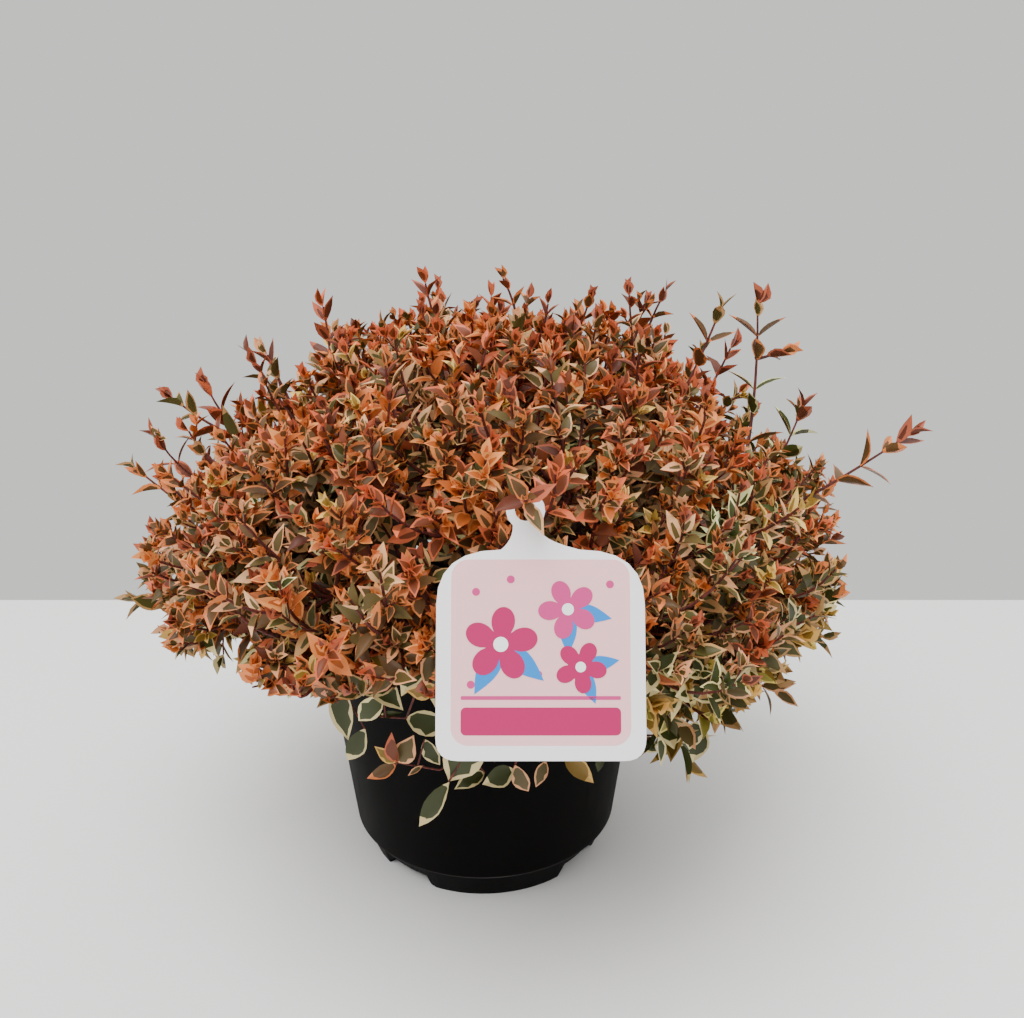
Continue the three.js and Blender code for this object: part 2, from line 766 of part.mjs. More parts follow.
// The shoot that passes through the card's loop, close under the top of its hole, with two leaves at its end
function labelShootPieces(stemLine, mass) {
  const { radius, beyond, before, leafSpread, leafDroop, leafDepth } = labelShoot;
  const { side, down, out } = labelAxes;
  const seat = label.hook.clone().addScaledVector(down, radius + clearance - label.holeRadius);
  const end = seat.clone().addScaledVector(out, beyond);
  const inside = seat.clone().addScaledVector(out, -before);
  const fork = stemLine.at(-2);
  const line = [...bezier(fork, halfWay(inside, fork), inside, 3), seat, end];
  const frames = framesAlong(line);
  mass.sheets.push(twigSheet(frames));
  const pieces = [limb(frames, twig.rootRadius, radius, bough.sides)];
  for (const half of [-1, 1]) {
    const along = out.clone().addScaledVector(side, half * leafSpread).addScaledVector(down, -leafDroop);
    const root = end.clone().addScaledVector(out, -leafDepth);
    const upwards = new THREE.Vector3(0, 0, 1);
    const corners = leafCorners(root, along.normalize(), upwards, shootLeaf.length, shootLeaf.width);
    pieces.push(leafGeometry(corners));
    mass.sheets.push(leafSheet(corners, leaf.neckShare));
  }
  return pieces;
}

// The card: a rounded tag on a neck with a loop, drawn downwards from the middle of its hole
function labelGeometry() {
  const { loopRadius, loopOpening, neck, neckHalf, width, body, shoulder, shoulderDrop } = label;
  const { cornerRound, shift, holeRadius, thickness } = label;
  const left = shift - width / 2;
  const right = shift + width / 2;
  const foot = -neck - body;
  const under = degrees(loopOpening);
  const outline = new THREE.Shape();
  outline.absarc(0, 0, loopRadius, -under, Math.PI + under, false);
  outline.quadraticCurveTo(-neckHalf, -neck, left + shoulder, -neck - shoulderDrop);
  outline.quadraticCurveTo(left, -neck - shoulderDrop, left, -neck - shoulder);
  outline.lineTo(left, foot + cornerRound);
  outline.quadraticCurveTo(left, foot, left + cornerRound, foot);
  outline.lineTo(right - cornerRound, foot);
  outline.quadraticCurveTo(right, foot, right, foot + cornerRound);
  outline.lineTo(right, -neck - shoulder);
  outline.quadraticCurveTo(right, -neck - shoulderDrop, right - shoulder, -neck - shoulderDrop);
  outline.quadraticCurveTo(neckHalf, -neck, loopRadius * Math.cos(under), -loopRadius * Math.sin(under));
  const hole = new THREE.Path();
  hole.absarc(0, 0, holeRadius, 0, Math.PI * 2, true);
  outline.holes.push(hole);
  const geometry = new THREE.ExtrudeGeometry(outline, {
    depth: thickness,
    bevelEnabled: false,
    curveSegments: 6,
  });
  const { side, down, out } = labelAxes;
  const place = new THREE.Matrix4().makeBasis(side, down.clone().negate(), out).setPosition(label.hook);
  return geometry.translate(0, 0, -thickness / 2).applyMatrix4(place);
}

const materials = {
  pot: new THREE.MeshStandardMaterial({ color: 0x1c1b1b, roughness: 0.55, metalness: 0 }),
  soil: new THREE.MeshStandardMaterial({ color: 0x2c2019, roughness: 1, metalness: 0 }),
  bark: new THREE.MeshStandardMaterial({ color: 0x5a3a2a, roughness: 0.85, metalness: 0 }),
  foliage: new THREE.MeshStandardMaterial({ color: 0xa2683c, roughness: 0.6, metalness: 0 }),
  card: new THREE.MeshStandardMaterial({ color: 0xf0d6de, roughness: 0.4, metalness: 0 }),
};

const plant = new THREE.Group();

function add(name, geometry, material) {
  const mesh = new THREE.Mesh(geometry, material);
  mesh.name = name;
  plant.add(mesh);
}

function nearestMass(point) {
  return masses.reduce((best, mass) =>
    mass.heart.distanceTo(point) < best.heart.distanceTo(point) ? mass : best,
  );
}

const masses = planMasses();
for (let i = 0; i < twig.count; i++) {
  const share = THREE.MathUtils.lerp(crown.tipsFrom, crown.tipsTo, chance(i, 7));
  const target = crownPoint(tipDirection(i, twig.count), share);
  nearestMass(target).tips.push({ index: i, target });
}
longShoots.forEach(({ at, reach }, index) => {
  const tip = new THREE.Vector3(...at);
  nearestMass(tip).shoots.push({ tip, reach, index });
});
nearestMass(label.hook).holdsLabel = true;

add("nursery_pot", potGeometry(), materials.pot);
add("potting_soil", soilGeometry(), materials.soil);
add("main_stem", mainStemGeometry(), materials.bark);
const stemRoom = solidFrom(mainStemGeometry(clearance));
for (const mass of masses) {
  const frames = framesAlong(mass.boughLine);
  const whole = solidFrom(limb(frames, bough.rootRadius, bough.tipRadius, bough.sides));
  add(`bough_${mass.name}`, geometryFrom(whole.subtract(stemRoom)), materials.bark);
}
for (const mass of masses) add(`foliage_${mass.name}`, foliageGeometry(mass), materials.foliage);
add("hanging_label", labelGeometry(), materials.card);

export default plant;
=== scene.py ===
# A glossy abelia in its nursery pot: growth in millimetres, meshes in metres, in the part's own frame
import random
from math import acos, atan2, cos, degrees, exp, floor, hypot, inf, pi, radians, sin, sqrt, tau

import bmesh
import bpy
import numpy as np
from mathutils import Matrix, Vector, noise


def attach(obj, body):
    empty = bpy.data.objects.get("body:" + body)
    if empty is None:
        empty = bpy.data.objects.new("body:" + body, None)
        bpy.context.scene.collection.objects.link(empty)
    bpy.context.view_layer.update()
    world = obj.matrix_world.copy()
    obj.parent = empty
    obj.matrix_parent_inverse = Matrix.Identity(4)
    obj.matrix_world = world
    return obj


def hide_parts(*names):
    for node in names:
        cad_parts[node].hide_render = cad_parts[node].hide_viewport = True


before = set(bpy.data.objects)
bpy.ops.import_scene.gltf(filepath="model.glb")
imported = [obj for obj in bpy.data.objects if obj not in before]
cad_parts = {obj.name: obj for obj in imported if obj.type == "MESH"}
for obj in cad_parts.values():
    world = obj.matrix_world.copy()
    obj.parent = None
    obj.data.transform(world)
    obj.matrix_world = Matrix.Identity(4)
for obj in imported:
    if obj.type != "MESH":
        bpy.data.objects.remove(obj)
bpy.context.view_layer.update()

random.seed(27)
metre = 0.001
clearance = 0.3
viewpoint = (16.5, -537.4, 391.2)
up = Vector((0, 0, 1))


def smooth(low, high, value):
    share = min(max((value - low) / (high - low), 0), 1)
    return share * share * (3 - 2 * share)


def between(low, high, share):
    return low + (high - low) * share


def linear(code):
    # a colour as it is written in a paint program, made ready for the shader
    parts = [int(code[i : i + 2], 16) / 255 for i in (1, 3, 5)]
    return tuple(p / 12.92 if p <= 0.04045 else ((p + 0.055) / 1.055) ** 2.4 for p in parts)


class Wire:
    # a node's output that sums can be written with
    def __init__(self, tree, socket):
        self.tree = tree
        self.socket = socket

    def sums(self, operation, first, second):
        node = self.tree.nodes.new("ShaderNodeMath")
        node.operation = operation
        plug(self.tree, node.inputs[0], first)
        plug(self.tree, node.inputs[1], second)
        return Wire(self.tree, node.outputs[0])

    def __add__(self, other):
        return self.sums("ADD", self, other)

    def __sub__(self, other):
        return self.sums("SUBTRACT", self, other)

    def __rsub__(self, other):
        return self.sums("SUBTRACT", other, self)

    def __mul__(self, other):
        return self.sums("MULTIPLY", self, other)

    __radd__ = __add__
    __rmul__ = __mul__


def plug(tree, socket, value):
    # joins a wire, or sets a number, a vector or a colour's code
    if isinstance(value, Wire):
        tree.links.new(value.socket, socket)
    else:
        socket.default_value = (*linear(value), 1) if isinstance(value, str) else value


class Finish:
    # one material on a Principled shader
    def __init__(self, name, colour, roughness, coat=0.0):
        self.material = bpy.data.materials.new(name)
        self.material.use_nodes = True
        self.tree = self.material.node_tree
        self.tree.nodes.clear()
        self.material.diffuse_color = (*colour, 1)
        output = self.tree.nodes.new("ShaderNodeOutputMaterial")
        self.shader = self.tree.nodes.new("ShaderNodeBsdfPrincipled")
        self.tree.links.new(self.shader.outputs[0], output.inputs[0])
        self.feed("Base Color", (*colour, 1))
        self.feed("Roughness", roughness)
        self.feed("Coat Weight", coat)

    def feed(self, socket, value):
        plug(self.tree, self.shader.inputs[socket], value)

    def node(self, kind, values, output=0, **settings):
        made = self.tree.nodes.new("ShaderNode" + kind)
        for name, value in settings.items():
            setattr(made, name, value)
        for name, value in values.items():
            plug(self.tree, made.inputs[name], value)
        return Wire(self.tree, made.outputs[output])

    def place(self):
        return self.node("TexCoord", {}, "Object")

    def speckle(self, scale, detail=3.0, stretch=(1, 1, 1), rough=0.5):
        where = self.node("Mapping", {"Vector": self.place(), "Scale": stretch})
        return self.node("TexNoise", {"Vector": where, "Scale": scale, "Detail": detail, "Roughness": rough})

    def steps(self, value, low, high):
        ends = {"Value": value, "From Min": low, "From Max": high}
        return self.node("MapRange", ends, interpolation_type="SMOOTHSTEP")

    def blend(self, first, second, share):
        return self.node("Mix", {0: share, 6: first, 7: second}, 2, data_type="RGBA")

    def relief(self, height, distance, strength=1.0):
        self.feed("Normal", self.node("Bump", {"Height": height, "Distance": distance, "Strength": strength}))


def linked(name, data):
    thing = bpy.data.objects.new(name, data)
    bpy.context.scene.collection.objects.link(thing)
    return thing


def finished(name, mesh, materials, slot, *nodes):
    # puts a mesh into the scene as one piece of the plant
    for material in materials:
        mesh.materials.append(material)
    piece = linked(name, mesh)
    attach(piece, "root")
    if nodes:
        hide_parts(*nodes)


def meshOf(name, bm, shadeSmooth=True):
    bmesh.ops.recalc_face_normals(bm, faces=bm.faces)
    mesh = bpy.data.meshes.new(name)
    bm.to_mesh(mesh)
    bm.free()
    mesh.polygons.foreach_set("use_smooth", [shadeSmooth] * len(mesh.polygons))
    return mesh


def spun(profile, steps):
    # a full turn of radii and heights about the upright axis
    bm = bmesh.new()
    line = [bm.verts.new((r * metre, 0, z * metre)) for r, z in profile]
    edges = [bm.edges.new(pair) for pair in zip(line, line[1:])]
    bmesh.ops.spin(
        bm, geom=line + edges, cent=(0, 0, 0), axis=(0, 0, 1), angle=tau, steps=steps,
        use_merge=True, use_duplicate=False,
    )
    bmesh.ops.remove_doubles(bm, verts=bm.verts, dist=1e-6)
    bmesh.ops.recalc_face_normals(bm, faces=bm.faces)
    return bm


pot = {
    "height": 150, "rimRadius": 95, "wall": 1.6, "floorTop": 8.1, "steps": 144,
    "lipDepth": 8, "lipReach": 2.2, "lipEase": (1, 0.6),
    "seamRadius": 79.4, "seamHeight": 17.8, "ledge": 2.2, "footRadius": 70.5,
    "feet": 4, "footArc": 65, "frontFootTurn": -83,
    "archHeight": 6.5, "archDepth": 12, "archEase": 1.5,
    "edge": 0.5, "edgesFrom": 30, "edgeAngle": 28, "sharpAngle": 32,
    # leaves and shoots stay so far off
    "keepOff": 2,
    # the seam's painted highlight fades in and out between these heights
    "seamHighlight": (-0.9, -0.4, 0.5, 1.2),
}


def wallRadius(height):
    share = max(0, (height - pot["seamHeight"]) / (pot["height"] - pot["seamHeight"]))
    return between(pot["seamRadius"], pot["rimRadius"], share)


def potFinish():
    finish = Finish("potPlastic", linear("#040303"), 0.6)
    finish.feed("Specular IOR Level", 0.03)
    smudges = finish.steps(finish.speckle(24, 6, (1, 1, 0.35)), 0.35, 0.75)
    grain = finish.speckle(1400, 2)
    scuffs = finish.steps(finish.speckle(160, 5, (1, 1, 0.12)), 0.62, 0.8)
    shade = finish.blend("#050404", "#0b0a0a", smudges)
    shade = finish.blend(shade, "#161413", scuffs * 0.35)
    # a painted highlight where the seam's edge catches the light
    height = finish.node("SeparateXYZ", {"Vector": finish.place()}, "Z")
    ends = [(pot["seamHeight"] + away) * metre for away in pot["seamHighlight"]]
    seamHighlight = finish.steps(height, *ends[:2]) - finish.steps(height, *ends[2:])
    finish.feed("Base Color", finish.blend(shade, "#4e4b49", seamHighlight * (0.35 + smudges * 0.5)))
    finish.feed("Roughness", 0.5 + smudges * 0.14 + scuffs * 0.12)
    finish.relief(grain + scuffs * 0.4, 0.00012, 0.6)
    return finish.material


def makePot():
    top, wall, ledge, base = pot["height"], pot["wall"], pot["ledge"], pot["floorTop"]
    rim, lip = pot["rimRadius"], pot["rimRadius"] + pot["lipReach"]
    seam, seamHeight, foot = pot["seamRadius"], pot["seamHeight"], pot["footRadius"]
    underLip = top - pot["lipDepth"]
    arch = foot - pot["archDepth"]
    bm = spun([
        (0, 0), (arch - 1, 0), (arch, 0), (foot, 0), (seam - ledge, seamHeight), (seam, seamHeight),
        (wallRadius(underLip), underLip), (lip, underLip + pot["lipEase"][0]), (lip, top - pot["lipEase"][1]),
        (rim, top), (rim - wall, top), (seam - wall, seamHeight + wall),
        (seam - ledge - wall, seamHeight + wall), (foot - wall, base), (0, base),
    ], pot["steps"])
    sharp = radians(pot["edgeAngle"])
    corners = [e for e in bm.edges if len(e.link_faces) == 2 and e.calc_face_angle() > sharp]
    corners = [e for e in corners if hypot(*e.verts[0].co.xy) > pot["edgesFrom"] * metre]
    bmesh.ops.bevel(
        bm, geom=corners, offset=pot["edge"] * metre, offset_type="OFFSET", affect="EDGES", segments=2,
        profile=0.5, material=-1, clamp_overlap=True,
    )
    arc = 360 / pot["feet"]
    half = (arc - pot["footArc"]) / 2
    for vert in bm.verts:
        turn = degrees(atan2(vert.co.y, vert.co.x)) - pot["frontFootTurn"]
        apart = abs(turn % arc - arc / 2)
        lift = pot["archHeight"] * metre * (1 - smooth(half - pot["archEase"], half + pot["archEase"], apart))
        if hypot(*vert.co.xy) > (arch - 0.5) * metre and vert.co.z < lift:
            vert.co.z = lift
    mesh = meshOf("nursery_pot_wall", bm)
    mesh.set_sharp_from_angle(angle=radians(pot["sharpAngle"]))
    finished("nursery_pot_wall", mesh, [potFinish()], "pot_plastic", "nursery_pot")
    print("pot", len(mesh.polygons))


makePot()


soil = {
    "level": 136, "edgeFall": 2.5, "flatRadius": 22, "foot": 8.6, "footRadius": 60,
    "ledge": 2.6, "ledgeHeight": 19.8, "rings": 30, "steps": 96,
    "lumps": 1.1, "lumpScale": 130, "crumbs": 320, "crumbSizes": (0.5, 1.6), "crumbDepth": 1.2,
}


def soilFinish():
    finish = Finish("peat", linear("#2a1d16"), 0.95)
    clods = finish.speckle(240, 6, rough=0.65)
    fibres = finish.steps(finish.speckle(900, 3, (1, 0.3, 1)), 0.55, 0.72)
    shade = finish.blend("#1a120d", "#4a3527", finish.steps(clods, 0.35, 0.68))
    finish.feed("Base Color", finish.blend(shade, "#7a6048", fibres * 0.4))
    finish.feed("Roughness", 0.85 + clods * 0.12)
    finish.relief(clods + fibres * 0.3, 0.0012)
    return finish.material


def makeSoil():
    edge, ledge = soil["level"] - soil["edgeFall"], soil["ledgeHeight"]
    outer, inner = [wallRadius(height) - pot["wall"] - clearance for height in (edge, ledge)]
    profile = [(0, soil["foot"]), (soil["footRadius"], soil["foot"])]
    profile += [(inner - soil["ledge"], ledge), (inner, ledge), (outer, edge)]
    for i in range(soil["rings"]):
        share = 1 - (i + 1) / soil["rings"]
        drop = soil["edgeFall"] * smooth(soil["flatRadius"] / outer, 1, share)
        profile.append((outer * share, soil["level"] - drop))
    bm = spun(profile, soil["steps"])
    for vert in bm.verts:
        if vert.co.z > (edge - 1) * metre:
            fine = noise.fractal(vert.co * soil["lumpScale"], 1.0, 2.0, 4)
            within = 1 - smooth(0.9, 1, hypot(*vert.co.xy) / (outer * metre))
            vert.co.z += soil["lumps"] * metre * fine * within
    for _ in range(soil["crumbs"]):
        turn = random.uniform(0, tau)
        out = outer * sqrt(random.random()) * 0.95
        size = random.uniform(*soil["crumbSizes"]) * metre
        height = soil["level"] - soil["crumbDepth"]
        spot = Matrix.Translation(Vector((out * cos(turn), out * sin(turn), height)) * metre)
        shape = Matrix.Diagonal((*[random.uniform(0.6, 1.2) for _ in range(3)], 1))
        bmesh.ops.create_icosphere(bm, subdivisions=1, radius=size, matrix=spot @ shape)
    mesh = meshOf("potting_soil_lumps", bm)
    finished("potting_soil_lumps", mesh, [soilFinish()], "soil", "potting_soil")
    print("soil", len(mesh.polygons))


makeSoil()


crown = {
    "middle": Vector((3, 0, 193)), "radius": 192, "rise": 128, "drop": 106,
    "lowestTip": -0.74, "topDensity": 1.15, "tipShares": (0.81, 0.9),
    # shares of the crown that a mass's stem goes from and to, and that its middle is at
    "entry": 0.46, "stemEnd": 0.68, "heart": 0.76,
    # turn, lift and spread in degrees, and a share of the radius
    "swellings": [
        (8, -10, 24, 0.05),
        (-25, -45, 20, 0.05),
        (0, 39, 14, -0.22),
        (184, -14, 26, 0.05),
        (165, 32, 20, -0.05),
        (180, 50, 16, -0.07),
        (-145, -36, 28, -0.17),
        (-90, -40, 26, -0.06),
    ],
}
mainStem = {
    "height": 34, "flareRadius": 13, "flareFall": 6, "waistRadius": 8.5, "headRadius": 10,
    "ribs": 5, "ribShare": 0.12, "lean": 2, "rings": 40, "steps": 48,
}
rings = [
    # name, count, lift, turn, bough's lift, share of the stem, off its axis
    ("top", 1, 90, 0, 88, 0.9, 0),
    ("upper", 5, 42, -90, 58, 0.84, 6.8),
    ("middle", 8, 7, -67, 38, 0.6, 5),
    ("skirt", 7, -32, -90, 30, 0.36, 5),
]


def chance(index, channel):
    value = sin(index * 127.1 + channel * 311.7) * 43758.5453
    return value - floor(value)


def varied(index, channel, spread=0.3):
    return 1 - spread / 2 + spread * chance(index, channel)


def scatter(index, channels):
    return Vector([chance(index, channel) - 0.5 for channel in channels])


def directionOf(turn, lift):
    a, e = radians(turn), radians(lift)
    return Vector((cos(e) * cos(a), cos(e) * sin(a), sin(e)))


swellings = [(directionOf(turn, lift), spread, share) for turn, lift, spread, share in crown["swellings"]]


def crownPoint(direction, share=1.0):
    # a place in the crown, out to a share of its swollen outline
    swelling = 0
    for toward, spread, part in swellings:
        apart = degrees(acos(max(-1, min(1, direction.dot(toward)))))
        swelling += part * exp(-((apart / spread) ** 2))
    vertical = crown["rise"] if direction.z > 0 else crown["drop"]
    away = Vector((direction.x * crown["radius"], direction.y * crown["radius"], direction.z * vertical))
    return crown["middle"] + away * (share * (1 + swelling))


def tipDirection(index, count, start=0.0):
    sine = 1 - ((index + 0.5) / count) ** crown["topDensity"] * (1 - crown["lowestTip"])
    across = sqrt(1 - sine * sine)
    turn = start + index * pi * (3 - sqrt(5)) + 0.5 * (chance(index, 1) - 0.5)
    return Vector((across * cos(turn), across * sin(turn), sine))


def bend(start, control, end, segments):
    line = []
    for i in range(segments + 1):
        t = i / segments
        line.append(start * (1 - t) ** 2 + control * 2 * t * (1 - t) + end * t * t)
    return line


class Limb:
    # a line with its lengths, and a sideways direction carried along it without twisting
    def __init__(self, points, roll=0.0, hemmed=False):
        self.points = points
        self.hemmed = hemmed
        self.runs = [0.0]
        for a, b in zip(points, points[1:]):
            self.runs.append(self.runs[-1] + (b - a).length)
        self.length = self.runs[-1]
        self.alongs = []
        self.sides = []
        side = None
        for before, after in zip([points[0], *points], [*points[1:], points[-1]]):
            along = (after - before).normalized()
            if side is None:
                side = up.cross(along)
                side = Vector((1, 0, 0)) if side.length < 0.1 else side
                side = Matrix.Rotation(roll, 3, along) @ side.normalized()
            side = (side - along * side.dot(along)).normalized()
            self.alongs.append(along)
            self.sides.append(side)

    def at(self, distance):
        distance = min(max(distance, 0), self.length * 0.9999)
        i = 0
        while self.runs[i + 1] < distance:
            i += 1
        share = (distance - self.runs[i]) / max(self.runs[i + 1] - self.runs[i], 1e-6)
        along = self.alongs[i].lerp(self.alongs[i + 1], share).normalized()
        side = self.sides[i].lerp(self.sides[i + 1], share)
        side = (side - along * side.dot(along)).normalized()
        return self.points[i].lerp(self.points[i + 1], share), along, side


def planMasses():
    masses = []
    for ring, count, lift, turn, boughLift, stemShare, offAxis in rings:
        for i in range(count):
            at = turn + 360 / count * i
            direction = directionOf(at, lift)
            root = directionOf(at, 0) * offAxis
            root.x += mainStem["lean"] * stemShare
            root.z = soil["level"] + clearance + mainStem["height"] * stemShare
            entry = crownPoint(direction, crown["entry"])
            leaving = directionOf(at, boughLift)
            boughLine = bend(root, root + leaving * 0.5 * (entry - root).length, entry, 16)
            onward = (entry - boughLine[-2]).normalized()
            stemEnd = crownPoint(direction, crown["stemEnd"])
            stemLine = bend(entry, entry + onward * 0.45 * (stemEnd - entry).length, stemEnd, 8)
            masses.append({
                "name": ring if count == 1 else f"{ring}_{i + 1}", "ring": ring,
                "bough": boughLine, "stem": Limb(stemLine), "heart": crownPoint(direction, crown["heart"]),
                "twigs": [], "limbs": [], "leaves": [],
            })
    return masses


masses = planMasses()


def countOf(kind):
    return sum(len(mass[kind]) for mass in masses)


def nearest(wood, place):
    return min(wood, key=lambda point: (point - place).length)


def woodPoints():
    return [point for mass in masses for limb in mass["limbs"] for point in limb[0]]


def nearestMass(point):
    return min(masses, key=lambda mass: (mass["heart"] - point).length)


def clearOfPot(point):
    out = hypot(point.x, point.y) - pot["lipReach"] - pot["keepOff"]
    return point.z > pot["height"] + pot["keepOff"] or out > wallRadius(min(point.z, pot["height"]))


label = {
    "hook": Vector((22, -153, 259)), "lean": 24, "thickness": 0.8, "holeRadius": 4.4,
    "neck": 12, "width": 84, "body": 88, "shift": 6, "shootRadius": 1.3,
    # how far leaves and wood, and the tips of shoots, stay off
    "around": 2, "behind": 1.5, "tipsAround": 8, "tipsBehind": 7,
}
lean = radians(label["lean"])
labelSide = Vector((1, 0, 0))
labelDown = Vector((0, -sin(lean), -cos(lean)))
labelOut = Vector((0, -cos(lean), sin(lean)))


def beforeLabel(point, around):
    # how far before the label's plane a point is: endlessly far behind where it is off to a side
    away = point - label["hook"]
    across, down = abs(away.dot(labelSide) - label["shift"]), away.dot(labelDown)
    near = across < label["width"] / 2 + around and -around < down < label["neck"] + label["body"] + around
    return away.dot(labelOut) if near else -inf


def behindLabel(point):
    return beforeLabel(point, label["around"]) < -label["behind"]


def tuckedIn(target):
    # moves a tip that would stand in the label to just behind it
    out = beforeLabel(target, label["tipsAround"])
    return target - labelOut * max(out + label["tipsBehind"], 0)


# the crown's hem, as it is seen from the front: x and z where the lines of sight cross an upright plane
hem = {
    "plane": -110,
    "backTo": 40,
    "line": [
        (-170, 191), (-150, 172), (-132, 164), (-114, 161), (-95, 147), (-77, 144), (-58, 149),
        (72, 152), (86, 116), (104, 116), (118, 129), (136, 145), (155, 158), (172, 190),
    ],
}


def belowHem(point):
    x, y, z = viewpoint
    nearer = (hem["plane"] - y) / (point.y - y)
    seenX, seenZ = x + (point.x - x) * nearer, z + (point.z - z) * nearer
    return point.y < hem["backTo"] and seenZ < np.interp(seenX, *zip(*hem["line"]))


# each of the leaves' shapes is one small sheet with a centre and a margin that carry their own paints
leafShape = {
    # how far along, half the width, and how far out the centre's patch reaches
    "small": [
        (0.0, 0.05, 0.5), (0.16, 0.62, 0.6), (0.38, 1.0, 0.7), (0.62, 0.86, 0.66), (0.84, 0.36, 0.5),
        (1.0, 0.015, 0.5),
    ],
    "broad": [
        (0.0, 0.04, 0.5), (0.08, 0.4, 0.55), (0.2, 0.78, 0.66), (0.34, 0.98, 0.72), (0.48, 1.0, 0.74),
        (0.63, 0.86, 0.7), (0.78, 0.56, 0.62), (0.91, 0.22, 0.4), (1.0, 0.012, 0.5),
    ],
    "inner": [(0.0, 0.06, 0.5), (0.35, 1.0, 0.66), (0.7, 0.7, 0.6), (1.0, 0.02, 0.5)],
    # kind, fold, droop, sideways bow, unevenness, and the centre's patch: how far up and over which columns
    "shapes": [
        ("small", 0.35, 0.12, 0.02, 0.12, 0.8, (1, 2)),
        ("small", 0.55, 0.22, -0.04, 0.2, 0.62, (1, 2, 3)),
        ("small", 0.2, 0.04, 0.05, 0.16, 0.84, (0, 1, 2)),
        ("small", 0.6, -0.06, -0.02, 0.2, 0.62, (2,)),
        ("small", 0.45, 0.28, 0.03, 0.22, 0.84, (1, 2)),
        ("small", 1.3, -0.12, 0.0, 0.1, 0.62, (1, 2)),  # closed, at the tips
        ("broad", 0.25, 0.16, 0.03, 0.26, 0.91, (1, 2)),
        ("broad", 0.4, 0.08, -0.05, 0.34, 0.78, (1, 2, 3)),
        ("broad", 0.15, 0.3, 0.04, 0.3, 0.91, (1, 2)),
        ("inner", 0.3, 0.12, 0.0, 0.1, 0.7, (1, 2)),
        ("small", 0.3, 0.1, -0.03, 0.2, 0.4, (1, 2)),
        ("small", 0.5, 0.18, 0.04, 0.14, 0.9, (0, 1, 2, 3)),
    ],
    "columns": 4,
}
closedShape = 5
shapesOf = {
    kind: [i for i, shape in enumerate(leafShape["shapes"]) if shape[0] == kind and i != closedShape]
    for kind in ("small", "broad", "inner")
}


def makeLeafShape(number, kind, fold, droop, bow, uneven, patch, patchColumns):
    rows, columns = leafShape[kind], leafShape["columns"]
    bm = bmesh.new()
    bmesh.ops.create_grid(bm, x_segments=columns, y_segments=len(rows) - 1, size=0.5)
    zones = []
    for face in bm.faces:
        middle = face.calc_center_median()
        row = int((middle.y + 0.5) * (len(rows) - 1))
        central = int((middle.x + 0.5) * columns) in patchColumns
        zones.append(0 if central and 0 < row and rows[row][0] < patch else 1)
    for vert in bm.verts:
        column = round((vert.co.x + 0.5) * columns)
        row = round((vert.co.y + 0.5) * (len(rows) - 1))
        own = number * 40 + row * 5 + column
        share, half, reach = rows[row]
        side = column - columns // 2
        if abs(side) == 1:
            reach *= 1 - 0.7 * smooth(patch - 0.25, patch + 0.1, share)
            half *= reach * (1 + uneven * (2 * chance(own, 2) - 1))
        elif side:
            half *= 1 + 0.04 * (2 * chance(own, 6) - 1)
        x = 0.5 * half * (side > 0) - 0.5 * half * (side < 0)
        rise = abs(x) * fold * 0.55 - droop * share * share
        vert.co = Vector((x + bow * sin(share * pi), share * (1 - 0.3 * abs(droop) * share), rise))
    points = np.array([v.co[:] for v in bm.verts])
    quads = np.array([[v.index for v in f.verts] for f in bm.faces])
    bm.free()
    return points, quads, np.array(zones)


leafShapes = [makeLeafShape(number, *shape) for number, shape in enumerate(leafShape["shapes"])]

leafTints = {
    # centre and margin
    "bronze": ("#5c2f20", "#a4563c"),
    "brick": ("#70381f", "#c4623e"),
    "coral": ("#5e4428", "#d67d47"),
    "orange": ("#ae5a26", "#e6884c"),
    "peach": ("#584a28", "#dfa072"),
    "olive": ("#4a4622", "#b48a58"),
    "gold": ("#86692a", "#d8ac5e"),
    "cream": ("#393f1a", "#e4d096"),
    "yellow": ("#8e8434", "#e0c766"),
    "shade": ("#3c3019", "#94704a"),
}
leafLook = {
    # shades are brightness steps, dealt partly at random as tone and partly by height as painted light: upper
    # leaves lit, lower leaves shaded
    "shades": (0.84, 1.06, 1.28), "paintedLightHeights": (160, 228), "brightest": 0.8,
    "roughness": 0.42, "shine": 0.28,
}
tints = list(leafTints)
sprayTints = {
    "bud": {"bronze": 7, "brick": 1.5, "olive": 2},
    "tip": {"bronze": 4, "brick": 4, "coral": 2},
    "leader": {"bronze": 4, "brick": 2.5, "coral": 4, "olive": 2, "peach": 1},
    "top": {"brick": 3.6, "coral": 7, "bronze": 1.8, "peach": 4.5, "orange": 2, "olive": 2, "gold": 0.5},
    "middle": {"coral": 6, "brick": 1.6, "orange": 2.2, "peach": 6, "cream": 1.0, "olive": 2.4, "gold": 0.8},
    "right": {"coral": 3.2, "brick": 0.4, "orange": 0.4, "peach": 5, "cream": 3.6, "olive": 5, "gold": 1},
    "low": {"coral": 1.8, "orange": 0.8, "peach": 3, "cream": 3, "olive": 7, "gold": 2, "yellow": 0.6},
    "lowRight": {"gold": 3.6, "yellow": 2.8, "cream": 2, "peach": 1.8, "olive": 6.5},
    "hanging": {"cream": 9, "peach": 1, "olive": 1.5},
    "tall": {"peach": 4, "cream": 4, "olive": 3, "coral": 1.5},
    "inner": {"shade": 5, "cream": 2, "peach": 2, "olive": 3},
    "rosette": {"orange": 4, "coral": 4.5, "brick": 2, "peach": 2.5, "gold": 1},
}


def leafFinishes():
    finishes = []
    for tint, codes in leafTints.items():
        # each tint in darker and lighter copies, for random tone and for painted light by height
        for shade in leafLook["shades"]:
            for part, code in zip(("Centre", "Margin"), codes):
                colour = tuple(min(leafLook["brightest"], p * shade) for p in linear(code))
                finish = Finish(f"{tint}{part}{int(shade * 100)}", colour, leafLook["roughness"])
                finish.feed("Specular IOR Level", leafLook["shine"])
                finishes.append(finish.material)
    return finishes


def pickTint(group, index):
    table = sprayTints[group]
    left = chance(index, 21) * sum(table.values())
    for name, weight in table.items():
        left -= weight
        if left <= 0:
            break
    return name


